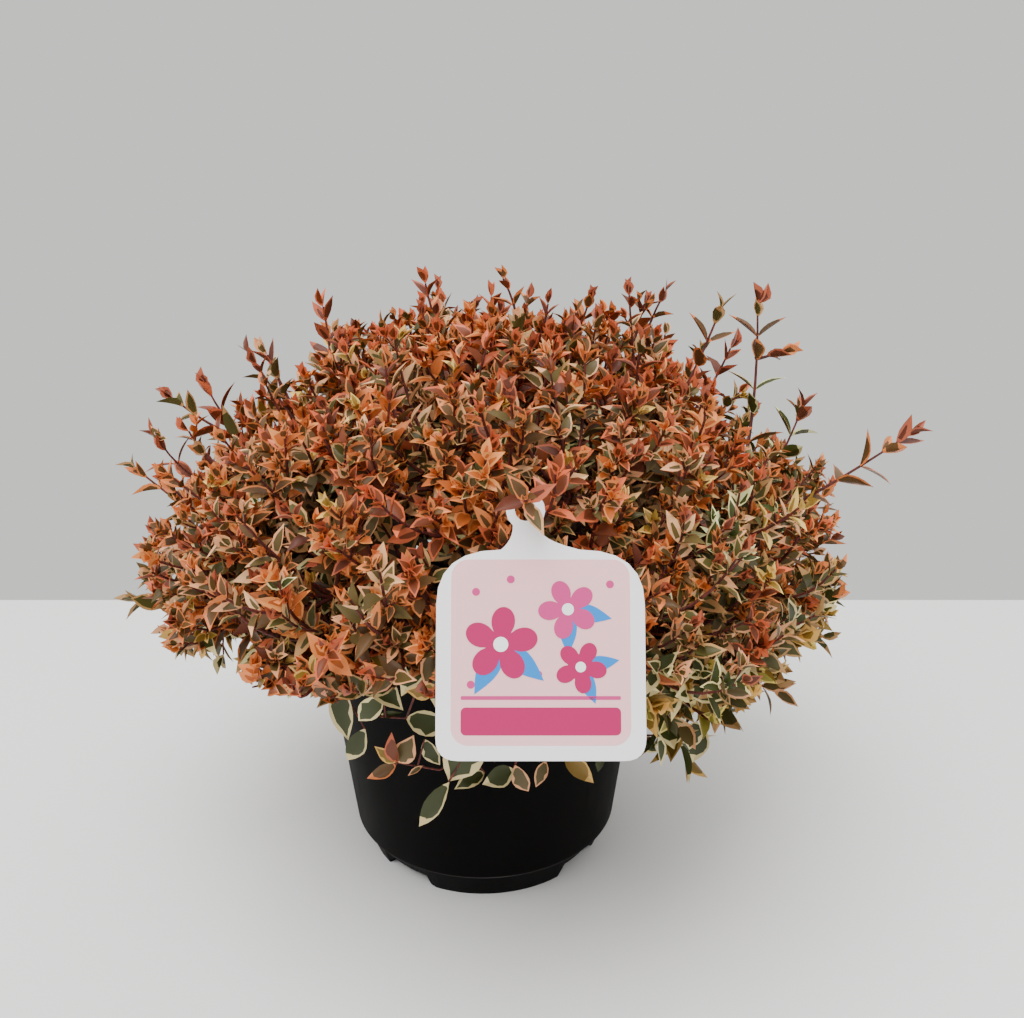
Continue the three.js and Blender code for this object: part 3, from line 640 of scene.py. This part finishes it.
growth = {
    "twigs": 44,
    # how many, their tips' shares of the crown, leafy length, whether they are inside, first turn
    "finer": [(760, 0.84, 0.985, 52, False, 0.0), (240, 0.62, 0.82, 44, True, 2.1)],
    "standingOut": 0.2, "standsBy": 0.07, "lowFallsBack": 0.07,
    "shoulder": (184, 30), "shoulderFallsBack": 0.07, "frontCorners": (180, -40), "openRight": 0.55,
    "leaders": 84, "leaderShares": (0.93, 1.0), "leaderLeafy": 66, "leafy": 52,
    "spacing": 10, "innerSpacing": 12, "hangingSpacing": 13, "longSpacing": 14,
    "leafTop": 15.5, "leafLow": 19, "leafInner": 19, "leafHanging": 25, "broadFrom": 18.5,
    "slim": 0.43, "slender": 0.38, "firstSize": 0.6, "firstSpread": 18, "spread": 52,
    "rosettes": 0.34, "rosetteLeaf": 14, "freshFrom": 174,
    "rise": 0.95, "wander": 0.75, "scatter": 0.9, "forkReach": 62, "forkTurn": 45,
    "twigRoot": 1.6, "shootRoot": 1.15, "shootTip": 0.5,
}
# where each group's own numbers begin
seeds = {"finer": 1000, "leader": 3000, "long": 5000, "hanging": 7000, "sprig": 8000, "front": 9000}
rosettePairs = [
    # how far along the side shoot, roll, spread, size, seed, and how often there is one
    (1, 0.4, 14, 0.55, 3, 1),
    (0.85, 1.9, 38, 0.68, 5, 1),
    (0.45, 0.3, 60, 0.8, 9, 0.6),
]


def placeLeaf(mass, root, along, face, length, slim, shape, tint, index, free=False, hemmed=False):
    points = [root, root + along * length * 0.5, root + along * length]
    if hemmed and (belowHem(points[2]) or belowHem(root)):
        return
    if not all(clearOfPot(point) and (free or behindLabel(point)) for point in points):
        return
    across = along.cross(face).normalized()
    above = across.cross(along)
    # the brightness step is partly random tone and partly painted light, with higher leaves getting a lighter
    # copy of their paint
    toneAndLightStep = int(min(1.5 * chance(index, 31) + 1.35 * smooth(*leafLook["paintedLightHeights"], root.z), 2.9))
    paint = tints.index(tint) * len(leafLook["shades"]) + toneAndLightStep
    mass["leaves"].append((shape, paint, root, across * length * slim, along * length, above * length))


def leafPair(mass, limb, distance, roll, spread, length, tint, index, shape=None, free=False,
             slim=growth["slim"]):
    root, along, side = limb.at(distance)
    outward = (root - crown["middle"]).normalized()
    for half in (0, 1):
        own = index * 7 + half
        angle = radians(spread * varied(own, 11))
        turned = Matrix.Rotation(roll + pi * half + 0.35 * (chance(own, 12) - 0.5), 3, along) @ side
        toward = (along * cos(angle) + turned * sin(angle)).normalized()
        face = along * 0.9 + outward * 0.8 + up * 0.45 + scatter(own, (3, 13, 23)) * growth["scatter"]
        size = length * varied(own, 14)
        kinds = shapesOf["inner" if shape == "inner" else "broad" if size > growth["broadFrom"] else "small"]
        kind = shape if shape == closedShape else kinds[int(chance(own, 15) * len(kinds))]
        width = slim * varied(own, 16, 0.28)
        placeLeaf(mass, root, toward, face, size, width, kind, tint, own, free, limb.hemmed)


def rosette(mass, limb, distance, roll, size, group, index):
    # a short side shoot in a leaf's axil
    root, along, side = limb.at(distance)
    turned = Matrix.Rotation(roll, 3, along) @ side
    toward = (along * 0.75 + turned * 0.7 + up * 0.25).normalized()
    reach = size * (0.35 + 0.4 * chance(index, 17))
    line = [root, root + toward * reach * 0.5, root + toward * reach + up * reach * 0.1]
    small = Limb(line, roll, limb.hemmed)
    mass["limbs"].append((line, growth["shootTip"] * 1.1, growth["shootTip"] * 0.8))
    tint = pickTint(group, index)
    for share, turn, spread, part, seed, often in rosettePairs:
        if chance(index, 19) < often:
            shape = closedShape if share == 1 and chance(index, 18) < 0.3 else None
            leafPair(mass, small, small.length * share, turn, spread, size * part, tint, index + seed, shape)


def zoneOf(place):
    if place.z < 178 and place.y < -20:
        return "hanging" if -140 < place.x < 40 else "lowRight" if place.x > 0 else "low"
    height = place.z - 0.16 * place.x + 22 * (chance(int(place.x * 3 + place.y), 25) - 0.5)
    if height > 238:
        return "top"
    if place.x > 100:
        return "right" if height > 160 else "lowRight"
    return "middle" if height > 180 else "low"


def growShoot(mass, points, radius, leafy, index, inner=False, spacing=None, size=None, group=None, bare=1.0,
              slim=growth["slim"], hemmed=True):
    mass["limbs"].append((points, radius, growth["shootTip"]))
    limb = Limb(points, chance(index, 4) * pi, hemmed)
    byHeight = between(growth["leafLow"], growth["leafTop"], smooth(120, 230, points[-1].z))
    size = size or (growth["leafInner"] if inner else byHeight)
    spacing = spacing or growth["innerSpacing" if inner else "spacing"]
    group = group or ("inner" if inner else zoneOf(points[-1]))
    if group in ("hanging", "lowRight"):
        size = max(size, growth["leafHanging"] - 4 * (group == "lowRight"))
        spacing = max(spacing, growth["hangingSpacing"])
    main, second = pickTint(group, index * 3), pickTint(group, index * 3 + 1)
    roll = chance(index, 9) * pi
    at, pair = 0.0, 0
    while at < min(leafy, limb.length - 6):
        back = limb.length - at
        grown = min(1, growth["firstSize"] + 0.16 * pair)
        spread = between(growth["firstSpread"], growth["spread"], smooth(-0.5, 3, pair))
        own = index * 13 + pair * 2
        tint = main if chance(own, 22) < 0.62 else second
        if pair < 2 and group in ("tall", "leader") and chance(own, 23) < 0.85:
            tint = pickTint("bud", own)
        elif pair == 0 and group in ("top", "middle", "right") and chance(own, 23) < 0.7:
            tint = pickTint("tip", own)
        shape = "inner" if inner else closedShape if pair == 0 and chance(own, 24) < 0.6 else None
        leafPair(mass, limb, back, roll, spread, size * grown, tint, own, shape, slim=slim)
        for half in (0, 1) if pair > 0 and not inner else ():
            if chance(own + half, 26) < growth["rosettes"] * bare:
                fresh = group in ("top", "middle") or (group in ("low", "right") and chance(own, 28) < 0.4)
                fresh = fresh and limb.at(back)[0].z > growth["freshFrom"]
                fine = min(size * 0.8, growth["rosetteLeaf"])
                sprig = "rosette" if fresh else group
                rosette(mass, limb, back, roll + pi * half, fine, sprig, own * 3 + half)
        roll += pi / 2
        at += spacing * (0.5 + 0.18 * min(pair, 3)) * varied(own, 27)
        pair += 1
    return limb


def shootEnd(direction, share):
    # the tip, and the way it points: outwards, and upwards on all but the skirt
    outward = Vector((direction.x, direction.y, direction.z * 1.3)).normalized()
    rise = growth["rise"] * smooth(-0.65, 0.0, direction.z) - 0.35 * smooth(-0.3, -0.75, direction.z)
    return crownPoint(direction, share), (outward + up * rise).normalized()


def growTwigs():
    # the source's own twigs, from the mass's stem
    for i in range(growth["twigs"]):
        direction = tipDirection(i, growth["twigs"])
        target, pointing = shootEnd(direction, between(*crown["tipShares"], chance(i, 7)))
        mass = nearestMass(target)
        start = mass["stem"].at(mass["stem"].length * between(0.3, 0.95, chance(i, 8)))[0]
        points = bend(start, target - pointing * (target - start).length * 0.5, target, 8)
        mass["twigs"].append(growShoot(mass, points, growth["twigRoot"], growth["leafy"], i))


def toTip(direction, share, own, lift, curve, segments):
    # a line from the mass's twigs or stem to a finer shoot's tip, which points its own way
    target, pointing = shootEnd(direction, share)
    target = tuckedIn(target)
    pointing = (pointing + (growth["wander"] * scatter(own, (34, 35, 36)) + up * lift)).normalized()
    mass = nearestMass(target)
    best, fork = 1e9, None
    for limb in [mass["stem"], *mass["twigs"]]:
        for share in (0.25, 0.45, 0.65, 0.9) if limb is mass["stem"] else (0.3, 0.5):
            point = limb.at(limb.length * share)[0]
            away = target - point
            turn = 1 - away.normalized().dot(pointing)
            cost = abs(away.length - growth["forkReach"]) + growth["forkTurn"] * turn
            if cost < best:
                best, fork = cost, point
    return mass, bend(fork, target - pointing * (target - fork).length * curve, target, segments)


shoulder = directionOf(*growth["shoulder"])


def growFinerShoots(count, low, high, leafy, inner, start):
    wide, front = growth["frontCorners"]
    for i in range(count):
        direction = tipDirection(i, count, start)
        own = seeds["finer"] + i + int(start * 1000)
        share = between(low, high, chance(own, 7) ** 0.8)
        stands = not inner and chance(own, 33) < growth["standingOut"] and direction.z > -0.3
        share += growth["standsBy"] * stands * (0.4 + chance(own, 38))
        share -= growth["lowFallsBack"] * smooth(-0.1, -0.5, direction.z) * smooth(0.2, -0.2, direction.x)
        share -= growth["shoulderFallsBack"] * smooth(0.8, 0.96, direction.dot(shoulder))
        if inner and direction.x > 0.7 and direction.z < 0.4 and chance(own, 39) < growth["openRight"]:
            continue
        mass, points = toTip(direction, share, own, 0, 0.55, 7)
        if belowHem(points[-1]) or (abs(points[-1].x) > wide and points[-1].y < front):
            continue
        if all(clearOfPot(point) and behindLabel(point) for point in points[2:]):
            growShoot(mass, points, growth["shootRoot"], leafy, own, inner, bare=0.5 if stands else 1.0)


def growLeaders():
    # longer stems that run along just over the crown, with their bark in sight between the leaves
    for i in range(growth["leaders"]):
        direction = tipDirection(i, growth["leaders"], 1.3)
        own = seeds["leader"] + i
        share = between(*growth["leaderShares"], chance(own, 7)) + 0.05 * smooth(0.2, 0.6, direction.z)
        mass, points = toTip(direction, share, own, 0.5, 0.6, 10)
        seen = direction.z >= -0.35 and not belowHem(points[-1])
        if seen and all(behindLabel(point) for point in points[3:]):
            growShoot(mass, points, growth["shootRoot"] * 1.25, growth["leaderLeafy"], own,
                      spacing=growth["longSpacing"], bare=0.5, slim=growth["slender"])


growTwigs()
growLeaders()
for finer in growth["finer"]:
    growFinerShoots(*finer)
print("shoots", countOf("limbs"), "leaves", countOf("leaves"))


longShoots = [
    # tip, the way its end points, how far it carries leaves, length of a leaf, where it leaves other wood
    ((235, -20, 261), (0.8, 0, 0.6), 62, 19, (124, -48, 204)),  # arches out
    ((147, 4, 331), (-0.09, 0, 1), 100, 18, (128, -44, 206)),  # the tallest
    ((172, 8, 298), (0.9, 0, 0.3), 16, 19, (153, 2, 291)),
    ((176, -8, 276), (0.3, 0, 1), 48, 18, (132, -40, 204)),
    ((137, 0, 306), (0.35, 0, 0.9), 36, 16),
    ((127, -14, 329), (0.3, 0, 0.9), 46, 17),
    ((102, 12, 333), (0.45, 0, 0.9), 34, 13),
    ((89, 4, 328), (0.25, 0, 0.9), 30, 13),
    ((76, -16, 335), (-0.1, 0, 1), 34, 13),
    ((36, -6, 329), (0.1, 0, 1), 30, 12),
    ((9, -22, 343), (-0.5, 0, 0.9), 46, 12),
    ((-31, 8, 340), (-0.15, 0, 1), 56, 16),
    ((-84, -6, 330), (-0.15, 0, 1), 52, 17),
    ((-120, 6, 302), (-0.35, 0, 0.9), 50, 17),
    ((-134, 20, 299), (-0.5, 0, 0.9), 44, 16),
    ((-156, 10, 283), (-0.35, 0, 0.9), 52, 17),
    ((-172, -10, 279), (-0.8, 0, 0.7), 60, 17),
    ((-186, 4, 255), (-0.5, 0, 0.9), 34, 19),
    ((-197, -8, 239), (-0.75, 0, 0.7), 56, 17),
    ((-186, -12, 194), (-0.4, 0, 0.9), 32, 17),
    ((-206, -18, 159), (-0.98, 0, 0.1), 40, 20),
    ((203, -20, 138), (0.95, 0, 0.1), 40, 20),
    ((177, -30, 102), (0.8, -0.2, -0.3), 40, 22),
    ((147, -40, 89), (0.7, -0.2, -0.6), 40, 23),
    ((119, -52, 66), (0.4, -0.2, -0.9), 44, 27),
    ((-30, 96, 326), (-0.1, 0.3, 1), 50, 15),
    ((112, 138, 276), (0.5, 0.6, 0.8), 55, 16),
    ((-118, 132, 272), (-0.5, 0.6, 0.8), 55, 16),
    ((34, 208, 218), (0.1, 0.9, 0.5), 50, 18),
    ((-24, -146, 240), (-0.4, -0.3, 0.8), 46, 14),  # round the label's upper corners
    ((-28, -150, 222), (-0.6, -0.3, 0.5), 40, 15),
    ((74, -144, 240), (0.3, -0.3, 0.8), 44, 14),
]


def growLongShoots():
    for number, (tip, pointing, leafy, size, *place) in enumerate(longShoots):
        tip, pointing = Vector(tip), Vector(pointing).normalized()
        mass = nearestMass(tip)
        group = "tall" if place else "leader" if tip.z > 200 else "low"
        start = nearest(woodPoints(), Vector(*place)) if place else mass["stem"].points[-1]
        end = tip - pointing * size * 0.5
        points = bend(start, end - pointing * (tip - start).length * 0.55, end, 10)
        growShoot(mass, points, growth["shootRoot"] * 1.2, leafy, seeds["long"] + number, group=group,
                  spacing=growth["longSpacing"], size=size * 1.12, bare=0.35, slim=growth["slender"],
                  hemmed=False)


growLongShoots()


hangingShoots = [
    # tip, the way its end points, length of a leaf, tints
    ((97, -104, 110), (0.5, -0.2, -0.8), 24, "hanging"),
    ((126, -88, 128), (0.8, -0.2, -0.6), 22, "lowRight"),
    ((76, -116, 132), (0.3, -0.3, -0.9), 23, "hanging"),
    ((-94, -98, 160), (-0.5, -0.2, -0.9), 24, "hanging"),
    ((-44, -120, 168), (-0.2, -0.3, -0.9), 24, "hanging"),
    ((-168, -46, 139), (-0.7, -0.2, -0.6), 19, "low"),
    ((-157, -52, 138), (-0.6, -0.2, -0.7), 19, "low"),
    ((-146, -58, 136), (-0.6, -0.2, -0.6), 19, "low"),
    ((-126, -72, 137), (-0.5, -0.2, -0.7), 19, "low"),
]


def growHangingShoots():
    for number, (tip, pointing, size, group) in enumerate(hangingShoots):
        tip, pointing = Vector(tip), Vector(pointing).normalized()
        mass = nearestMass(tip)
        start = mass["stem"].at(mass["stem"].length * 0.8)[0]
        end = tip - pointing * size * 0.6
        over = Vector((end.x, end.y * 1.02, max(end.z + 30, 168)))
        growShoot(mass, bend(start, over, end, 12), growth["shootRoot"], 46, seeds["hanging"] + number,
                  spacing=growth["longSpacing"], size=size, group=group, bare=0.3, hemmed=False)


growHangingShoots()


frontLeaves = [
    # large old leaves before the pot: root, tip, width as a share of the length, tint where it isn't cream
    ((-68, -104, 153), (-65, -110, 121), 0.36),
    ((-56, -106, 129), (-67, -104, 108), 0.42),
    ((-45, -116, 152), (-60, -118, 137), 0.5),
    ((-51, -122, 169), (-33, -132, 154), 0.46),
    ((-25, -128, 184), (-34, -136, 163), 0.44),
    ((-34, -118, 142), (-11, -124, 140), 0.5),
    ((-47, -114, 141), (-36, -116, 144), 0.3),
    ((-40, -116, 115), (-54, -122, 111), 0.42, "coral"),
    ((-39, -117, 117), (-32, -124, 133), 0.6, "peach"),
    ((-40, -117, 117), (-49, -122, 128), 0.4, "gold"),
    ((-40, -117, 117), (-41, -124, 137), 0.34, "brick"),
    ((-27, -117, 115), (-35, -120, 111), 0.3, "peach"),
    ((1, -124, 138), (-16, -124, 106), 0.52),
    ((-14, -122, 109), (-31, -121, 81), 0.28),
    ((-26, -114, 128), (-19, -118, 112), 0.46),
    ((3, -112, 108), (-12, -120, 104), 0.46),
    ((17, -118, 114), (2, -124, 109), 0.6),
    ((18, -118, 116), (25, -120, 97), 0.42, "peach"),
    ((33, -116, 117), (28, -122, 105), 0.44, "peach"),
    ((42, -114, 119), (57, -118, 105), 0.42, "gold"),
    ((61, -108, 117), (59, -112, 107), 0.4),
    ((2, -112, 129), (15, -120, 119), 0.44),
    ((-18, -120, 172), (-20, -124, 150), 0.42),
    ((-90, -92, 155), (-99, -96, 137), 0.5),
    ((-80, -96, 160), (-88, -104, 147), 0.44),
    ((-11, -122, 159), (-16, -126, 145), 0.5, "olive"),
    ((79, -100, 122), (91, -104, 112), 0.5),
    ((112, -84, 120), (108, -88, 104), 0.6),
    ((116, -80, 116), (111, -84, 94), 0.46),
    ((105, -88, 140), (106, -92, 121), 0.66),
]
frontStems = [
    [(-6, -126, 192), (-1, -124, 155), (1, -123, 138), (-14, -121, 109)],
    [(19, -118, 158), (3, -118, 125), (-19, -116, 112), (-40, -117, 117)],
    [(-17, -124, 190), (-26, -122, 165), (-34, -118, 142), (-46, -115, 141)],
    [(38, -118, 156), (18, -117, 116)],
    [(-66, -98, 175), (-68, -103, 153), (-56, -106, 129)],
    [(112, -80, 158), (113, -83, 121)],
]


def growFrontLeaves():
    # each stem leaves the nearest shoot, and each leaf has a stalk to the nearest of either
    wood = woodPoints() + [point for mass in masses for point in mass["stem"].points]
    for stem in frontStems:
        points = [Vector(point) for point in stem]
        points.insert(0, nearest(wood, points[0]))
        nearestMass(points[0])["limbs"].append((points, 0.8, 0.5))
        wood += [a.lerp(b, i / 6) for a, b in zip(points, points[1:]) for i in range(6)] + points[-1:]
    for number, (root, tip, slim, *tint) in enumerate(frontLeaves):
        root, tip = Vector(root), Vector(tip)
        mass = nearestMass(root)
        way, length = (tip - root).normalized(), (tip - root).length
        face = Vector((0.5 * (chance(number, 51) - 0.5), -1, 0.3 + 0.5 * chance(number, 52)))
        kinds = shapesOf["broad" if length > 14 else "small"]
        kind, own = kinds[number % len(kinds)], seeds["front"] + number
        placeLeaf(mass, root, way, face, length, slim, kind, *(tint or ["cream"]), own)
        fork = nearest(wood, root)
        if (fork - root).length > 0.5:
            mass["limbs"].append(([fork, (fork + root) / 2, root], 0.5, 0.4))
    print("front leaves", len(frontLeaves))


growFrontLeaves()


def growLabelShoot():
    # the shoot that goes through the label's hole, with its pairs of leaves back from the tip
    mass = nearestMass(label["hook"])
    seat = label["hook"] + labelDown * (label["shootRadius"] + clearance - label["holeRadius"])
    inside, end = seat - labelOut * 22, seat + labelOut * 16
    start = mass["stem"].points[-2]
    points = [*bend(start, (start + inside) / 2 + up * 6, inside, 4), seat, end]
    mass["limbs"].append((points, 1.4, 0.9))
    limb = Limb(points)
    pairs = [(0, 22, 10, "tip"), (3, 50, 13, "top"), (7, 60, 15, "tip"), (13, 66, 16, "middle")]
    for pair, (back, spread, size, group) in enumerate(pairs):
        roll, own, tint = pair * pi / 2 + 0.3, seeds["sprig"] + pair * 9, pickTint(group, 800 + pair)
        leafPair(mass, limb, limb.length - back, roll, spread, size, tint, own, free=True)


growLabelShoot()


def tubes(name, limbs, resolution):
    # sweeps tapering limbs with one curve and makes them a mesh
    curve = bpy.data.curves.new(name, "CURVE")
    curve.dimensions = "3D"
    curve.bevel_depth = metre
    curve.bevel_resolution = resolution
    curve.use_fill_caps = True
    for points, rootRadius, tipRadius in limbs:
        spline = curve.splines.new("POLY")
        spline.points.add(len(points) - 1)
        for i, (place, point) in enumerate(zip(spline.points, points)):
            place.co = (*(point * metre), 1)
            place.radius = between(rootRadius, tipRadius, i / (len(points) - 1))
    swept = linked(name, curve)
    bpy.context.view_layer.update()
    mesh = bpy.data.meshes.new_from_object(swept.evaluated_get(bpy.context.evaluated_depsgraph_get()))
    bpy.data.objects.remove(swept)
    bpy.data.curves.remove(curve)
    mesh.materials.clear()
    bm = bmesh.new()
    bm.from_mesh(mesh)
    bpy.data.meshes.remove(mesh)
    return bm


def barkFinish(name, dark, light, grain):
    finish = Finish(name, linear(light), 0.75)
    ridges = finish.speckle(grain, 5, (1, 1, 0.25), 0.6)
    patches = finish.steps(finish.speckle(grain * 0.2, 3), 0.4, 0.65)
    shade = finish.blend(dark, light, finish.steps(ridges, 0.35, 0.65))
    finish.feed("Base Color", finish.blend(shade, dark, patches * 0.4))
    finish.feed("Roughness", 0.62 + ridges * 0.25)
    finish.relief(ridges, 0.0006)
    return finish.material


def roughened(bm, scale, depth):
    # bark ridges, in the mesh itself
    bm.normal_update()
    for vert in bm.verts:
        ridge = noise.fractal(Vector((vert.co.x, vert.co.y, vert.co.z * 0.3)) * scale, 1.0, 2.0, 3)
        vert.co += vert.normal * ridge * depth * metre


bark = {
    "boughRoot": 3.1, "boughTip": 2.4, "stemTip": 1.6,
    # scale and depth of the ridges
    "stemRidges": (260, 0.7),
    "boughRidges": (420, 0.45),
}


def mainStemRadius(share):
    flare = exp(-share * mainStem["flareFall"]) * (mainStem["flareRadius"] - mainStem["waistRadius"])
    waist = between(mainStem["waistRadius"], mainStem["headRadius"], smooth(0.3, 0.75, share))
    over = max(0, (share - 0.85) / 0.15)
    return (waist + flare) * sqrt(1 - over**2 * 0.75)


def makeWood():
    material = barkFinish("bark", "#2c1c15", "#6b4a36", 420)
    foot, height = soil["level"] + clearance, mainStem["height"]
    shares = [i / mainStem["rings"] for i in range(mainStem["rings"] + 1)]
    profile = [(mainStemRadius(share), foot + height * share) for share in shares]
    bm = spun([(0, foot), *profile, (0, foot + height)], mainStem["steps"])
    for vert in bm.verts:
        share = (vert.co.z / metre - foot) / height
        ribs = cos(mainStem["ribs"] * atan2(vert.co.y, vert.co.x))
        rib = 1 + mainStem["ribShare"] * ribs * exp(-share * mainStem["flareFall"])
        vert.co.x = vert.co.x * rib + mainStem["lean"] * share * metre
        vert.co.y *= rib
    roughened(bm, *bark["stemRidges"])
    finished("stem_bark", meshOf("stem_bark", bm), [material], "bark", "main_stem")
    bm = tubes("bough_bark", [(mass["bough"], bark["boughRoot"], bark["boughTip"]) for mass in masses], 4)
    bmesh.ops.recalc_face_normals(bm, faces=bm.faces)
    roughened(bm, *bark["boughRidges"])
    nodes = [f"bough_{mass['name']}" for mass in masses]
    finished("bough_bark", meshOf("bough_bark", bm), [material], "bark", *nodes)
    print("wood", len(nodes))


makeWood()


def makeShoots():
    material = barkFinish("shootBark", "#38140f", "#742c22", 900)
    for ring, *_ in rings:
        name, limbs = f"shoots_{ring}", []
        for mass in masses:
            if mass["ring"] == ring:
                limbs.append((mass["stem"].points, bark["boughTip"], bark["stemTip"]))
                limbs += mass["limbs"]
        mesh = meshOf(name, tubes(name, limbs, 1))
        finished(name, mesh, [material], "bark")
        print("shoots", ring, len(limbs), len(mesh.polygons))


makeShoots()


def makeLeaves():
    finishes = leafFinishes()
    total = 0
    for mass in masses:
        name, count = f"leaves_{mass['name']}", 0
        points, corners, slots = [], [], []
        for number, (shape, quads, zones) in enumerate(leafShapes):
            chosen = [leaf for leaf in mass["leaves"] if leaf[0] == number]
            if not chosen:
                continue
            roots = np.array([leaf[2][:] for leaf in chosen])
            axes = np.array([[axis[:] for axis in leaf[3:]] for leaf in chosen])
            made = np.einsum("vk,nkj->nvj", shape, axes) + roots[:, None]
            points.append(made.reshape(-1, 3) * metre)
            starts = count + np.arange(len(chosen)) * len(shape)
            corners.append((quads[None] + starts[:, None, None]).reshape(-1, 4))
            paints = np.array([leaf[1] for leaf in chosen])
            slots.append((paints[:, None] * 2 + zones[None]).reshape(-1))
            count += len(chosen) * len(shape)
        points, corners, slots = [np.concatenate(parts) for parts in (points, corners, slots)]
        mesh = bpy.data.meshes.new(name)
        mesh.from_pydata(points.tolist(), [], corners.tolist(), shade_flat=False)
        mesh.polygons.foreach_set("material_index", slots.astype(np.int32))
        finished(name, mesh, finishes, "foliage", f"foliage_{mass['name']}")
        total += len(corners) * 2
    print("leaves", countOf("leaves"), "triangles", total)


makeLeaves()


labelPrint = {
    "card": ("#fdf9fa", 0.35),
    "layer": 0.06,
    # a generic design, with its layers from the back to the front and its places from the middle of the hole
    "paints": {
        "blush": "#fcc4c4", "rose": "#b4085c", "pink": "#cc3a80", "white": "#ffffff", "sky": "#0284d8",
    },
    "flowers": [(-10, -54, 15, 12, "rose"), (17, -40, 12, 40, "pink"), (22, -63, 10.5, 62, "rose")],
    "dots": [(-20, -33), (-6, -28), (34, -30), (5, -66), (-22, -70)],
}


def labelPlace(x, y, layer):
    out = label["thickness"] / 2 + labelPrint["layer"] * layer
    return (label["hook"] + labelSide * x - labelDown * y + labelOut * out) * metre


def makeLabel():
    colour, roughness = labelPrint["card"]
    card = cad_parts["hanging_label"]
    paper = Finish("labelCard", linear(colour), roughness, 0.25)
    fibres = paper.speckle(700, 4)
    paper.feed("Roughness", 0.3 + fibres * 0.12)
    paper.relief(fibres, 0.00005, 0.4)
    card.data.materials.clear()
    card.data.materials.append(paper.material)
    paints, inks = list(labelPrint["paints"]), []
    for paint, code in labelPrint["paints"].items():
        inks.append(Finish(f"print{paint.capitalize()}", linear(code), roughness, 0.3).material)
    bm = bmesh.new()

    def raiseShape(outline, paint, layer):
        # a flat shape of the print, as thin as ink but solid
        verts = [bm.verts.new(labelPlace(x, y, layer - 1)) for x, y in outline]
        lifted = bmesh.ops.extrude_face_region(bm, geom=[bm.faces.new(verts)])["geom"]
        faces = {face for vert in verts for face in vert.link_faces}
        for made in lifted:
            if isinstance(made, bmesh.types.BMVert):
                made.co += labelOut * labelPrint["layer"] * metre
            elif isinstance(made, bmesh.types.BMFace):
                faces.add(made)
        for face in faces:
            face.material_index = paints.index(paint)

    def panel(left, right, low, high, radius, paint, layer):
        left, right, low, high = left + radius, right - radius, low + radius, high - radius
        outline = []
        for x, y, start in ((right, high, 0), (left, high, 90), (left, low, 180), (right, low, 270)):
            for i in range(9):
                a = radians(start + 90 * i / 8)
                outline.append((x + radius * cos(a), y + radius * sin(a)))
        raiseShape(outline, paint, layer)

    def disc(x, y, size, paint, layer, turn=None):
        # a dot, or with a turn a flower of five petals
        count, outline = 32 if turn is None else 90, []
        for i in range(count):
            a = tau * i / count
            petal = 1 if turn is None else 0.38 + 0.62 * abs(cos(2.5 * (a - radians(turn)))) ** 0.7
            outline.append((x + size * petal * cos(a), y + size * petal * sin(a)))
        raiseShape(outline, paint, layer)

    def blade(x, y, length, width, turn, paint, layer):
        outline = []
        c, s = cos(radians(turn)), sin(radians(turn))
        for i in range(24):
            share = i / 12 if i <= 12 else 2 - i / 12
            along = share * length
            across = width / 2 * sin(pi * share**0.8) * (1 if i <= 12 else -1)
            outline.append((x + along * c - across * s, y + along * s + across * c))
        raiseShape(outline, paint, layer)

    panel(-30, 42, -94, -20, 7, "blush", 1)
    panel(-26, 38, -90, -79, 2, "rose", 2)
    panel(-26, 38, -76, -74.5, 0.5, "pink", 2)
    for x, y, size, turn, paint in labelPrint["flowers"]:
        blade(x, y, size * 1.5, size * 0.6, turn - 130, "sky", 2)
        blade(x, y, size * 1.5, size * 0.6, turn - 52, "sky", 3)
        disc(x, y, size, paint, 4, turn)
        disc(x, y, size * 0.2, "white", 5)
    for x, y in labelPrint["dots"]:
        disc(x, y, 1.6, "pink", 2)
    finished("label_print", meshOf("label_print", bm, False), inks, "label_card")
    print("label", len(inks))


makeLabel()


studio = {
    "floorFront": -3.0, "floorBack": 0.337, "floorHalf": 3.0,
    "floor": "#f8f8f7", "air": "#bdbdbb", "airStrength": 1.64,
    "lens": 35.156, "tilt": 71.1, "aim": Vector((0, 0, 0.15)),
    # name, place, size, energy
    "lights": [("key", (-0.45, -0.75, 2.1), 1.8, 66), ("fill", (0.9, 0.5, 1.8), 1.6, 10)],
}


def makeStudio():
    bm = bmesh.new()
    bmesh.ops.create_grid(bm, x_segments=1, y_segments=1, size=1)
    for vert in bm.verts:
        vert.co.x *= studio["floorHalf"]
        vert.co.y = studio["floorFront"] if vert.co.y < 0 else studio["floorBack"]
    mesh = bpy.data.meshes.new("floor")
    bm.to_mesh(mesh)
    bm.free()
    mesh.materials.append(Finish("paleFloor", linear(studio["floor"]), 0.7).material)
    floor = linked("floor", mesh)
    world = bpy.data.worlds.new("air")
    world.use_nodes = True
    backdrop = world.node_tree.nodes["Background"]
    plug(world.node_tree, backdrop.inputs[0], studio["air"])
    plug(world.node_tree, backdrop.inputs[1], studio["airStrength"])
    bpy.context.scene.world = world
    for name, place, size, energy in studio["lights"]:
        light = bpy.data.lights.new(name, "AREA")
        light.size = size
        light.energy = energy
        lamp = linked(name, light)
        lamp.location = place
        lamp.rotation_euler = (studio["aim"] - lamp.location).to_track_quat("-Z", "Y").to_euler()
    camera = bpy.data.cameras.new("camera")
    camera.sensor_width = 36
    camera.lens = studio["lens"]
    eye = linked("camera", camera)
    eye.location = [v * metre for v in viewpoint]
    eye.rotation_euler = (radians(studio["tilt"]), 0, 0)
    bpy.context.scene.camera = eye
    print("studio", len(studio["lights"]))


makeStudio()
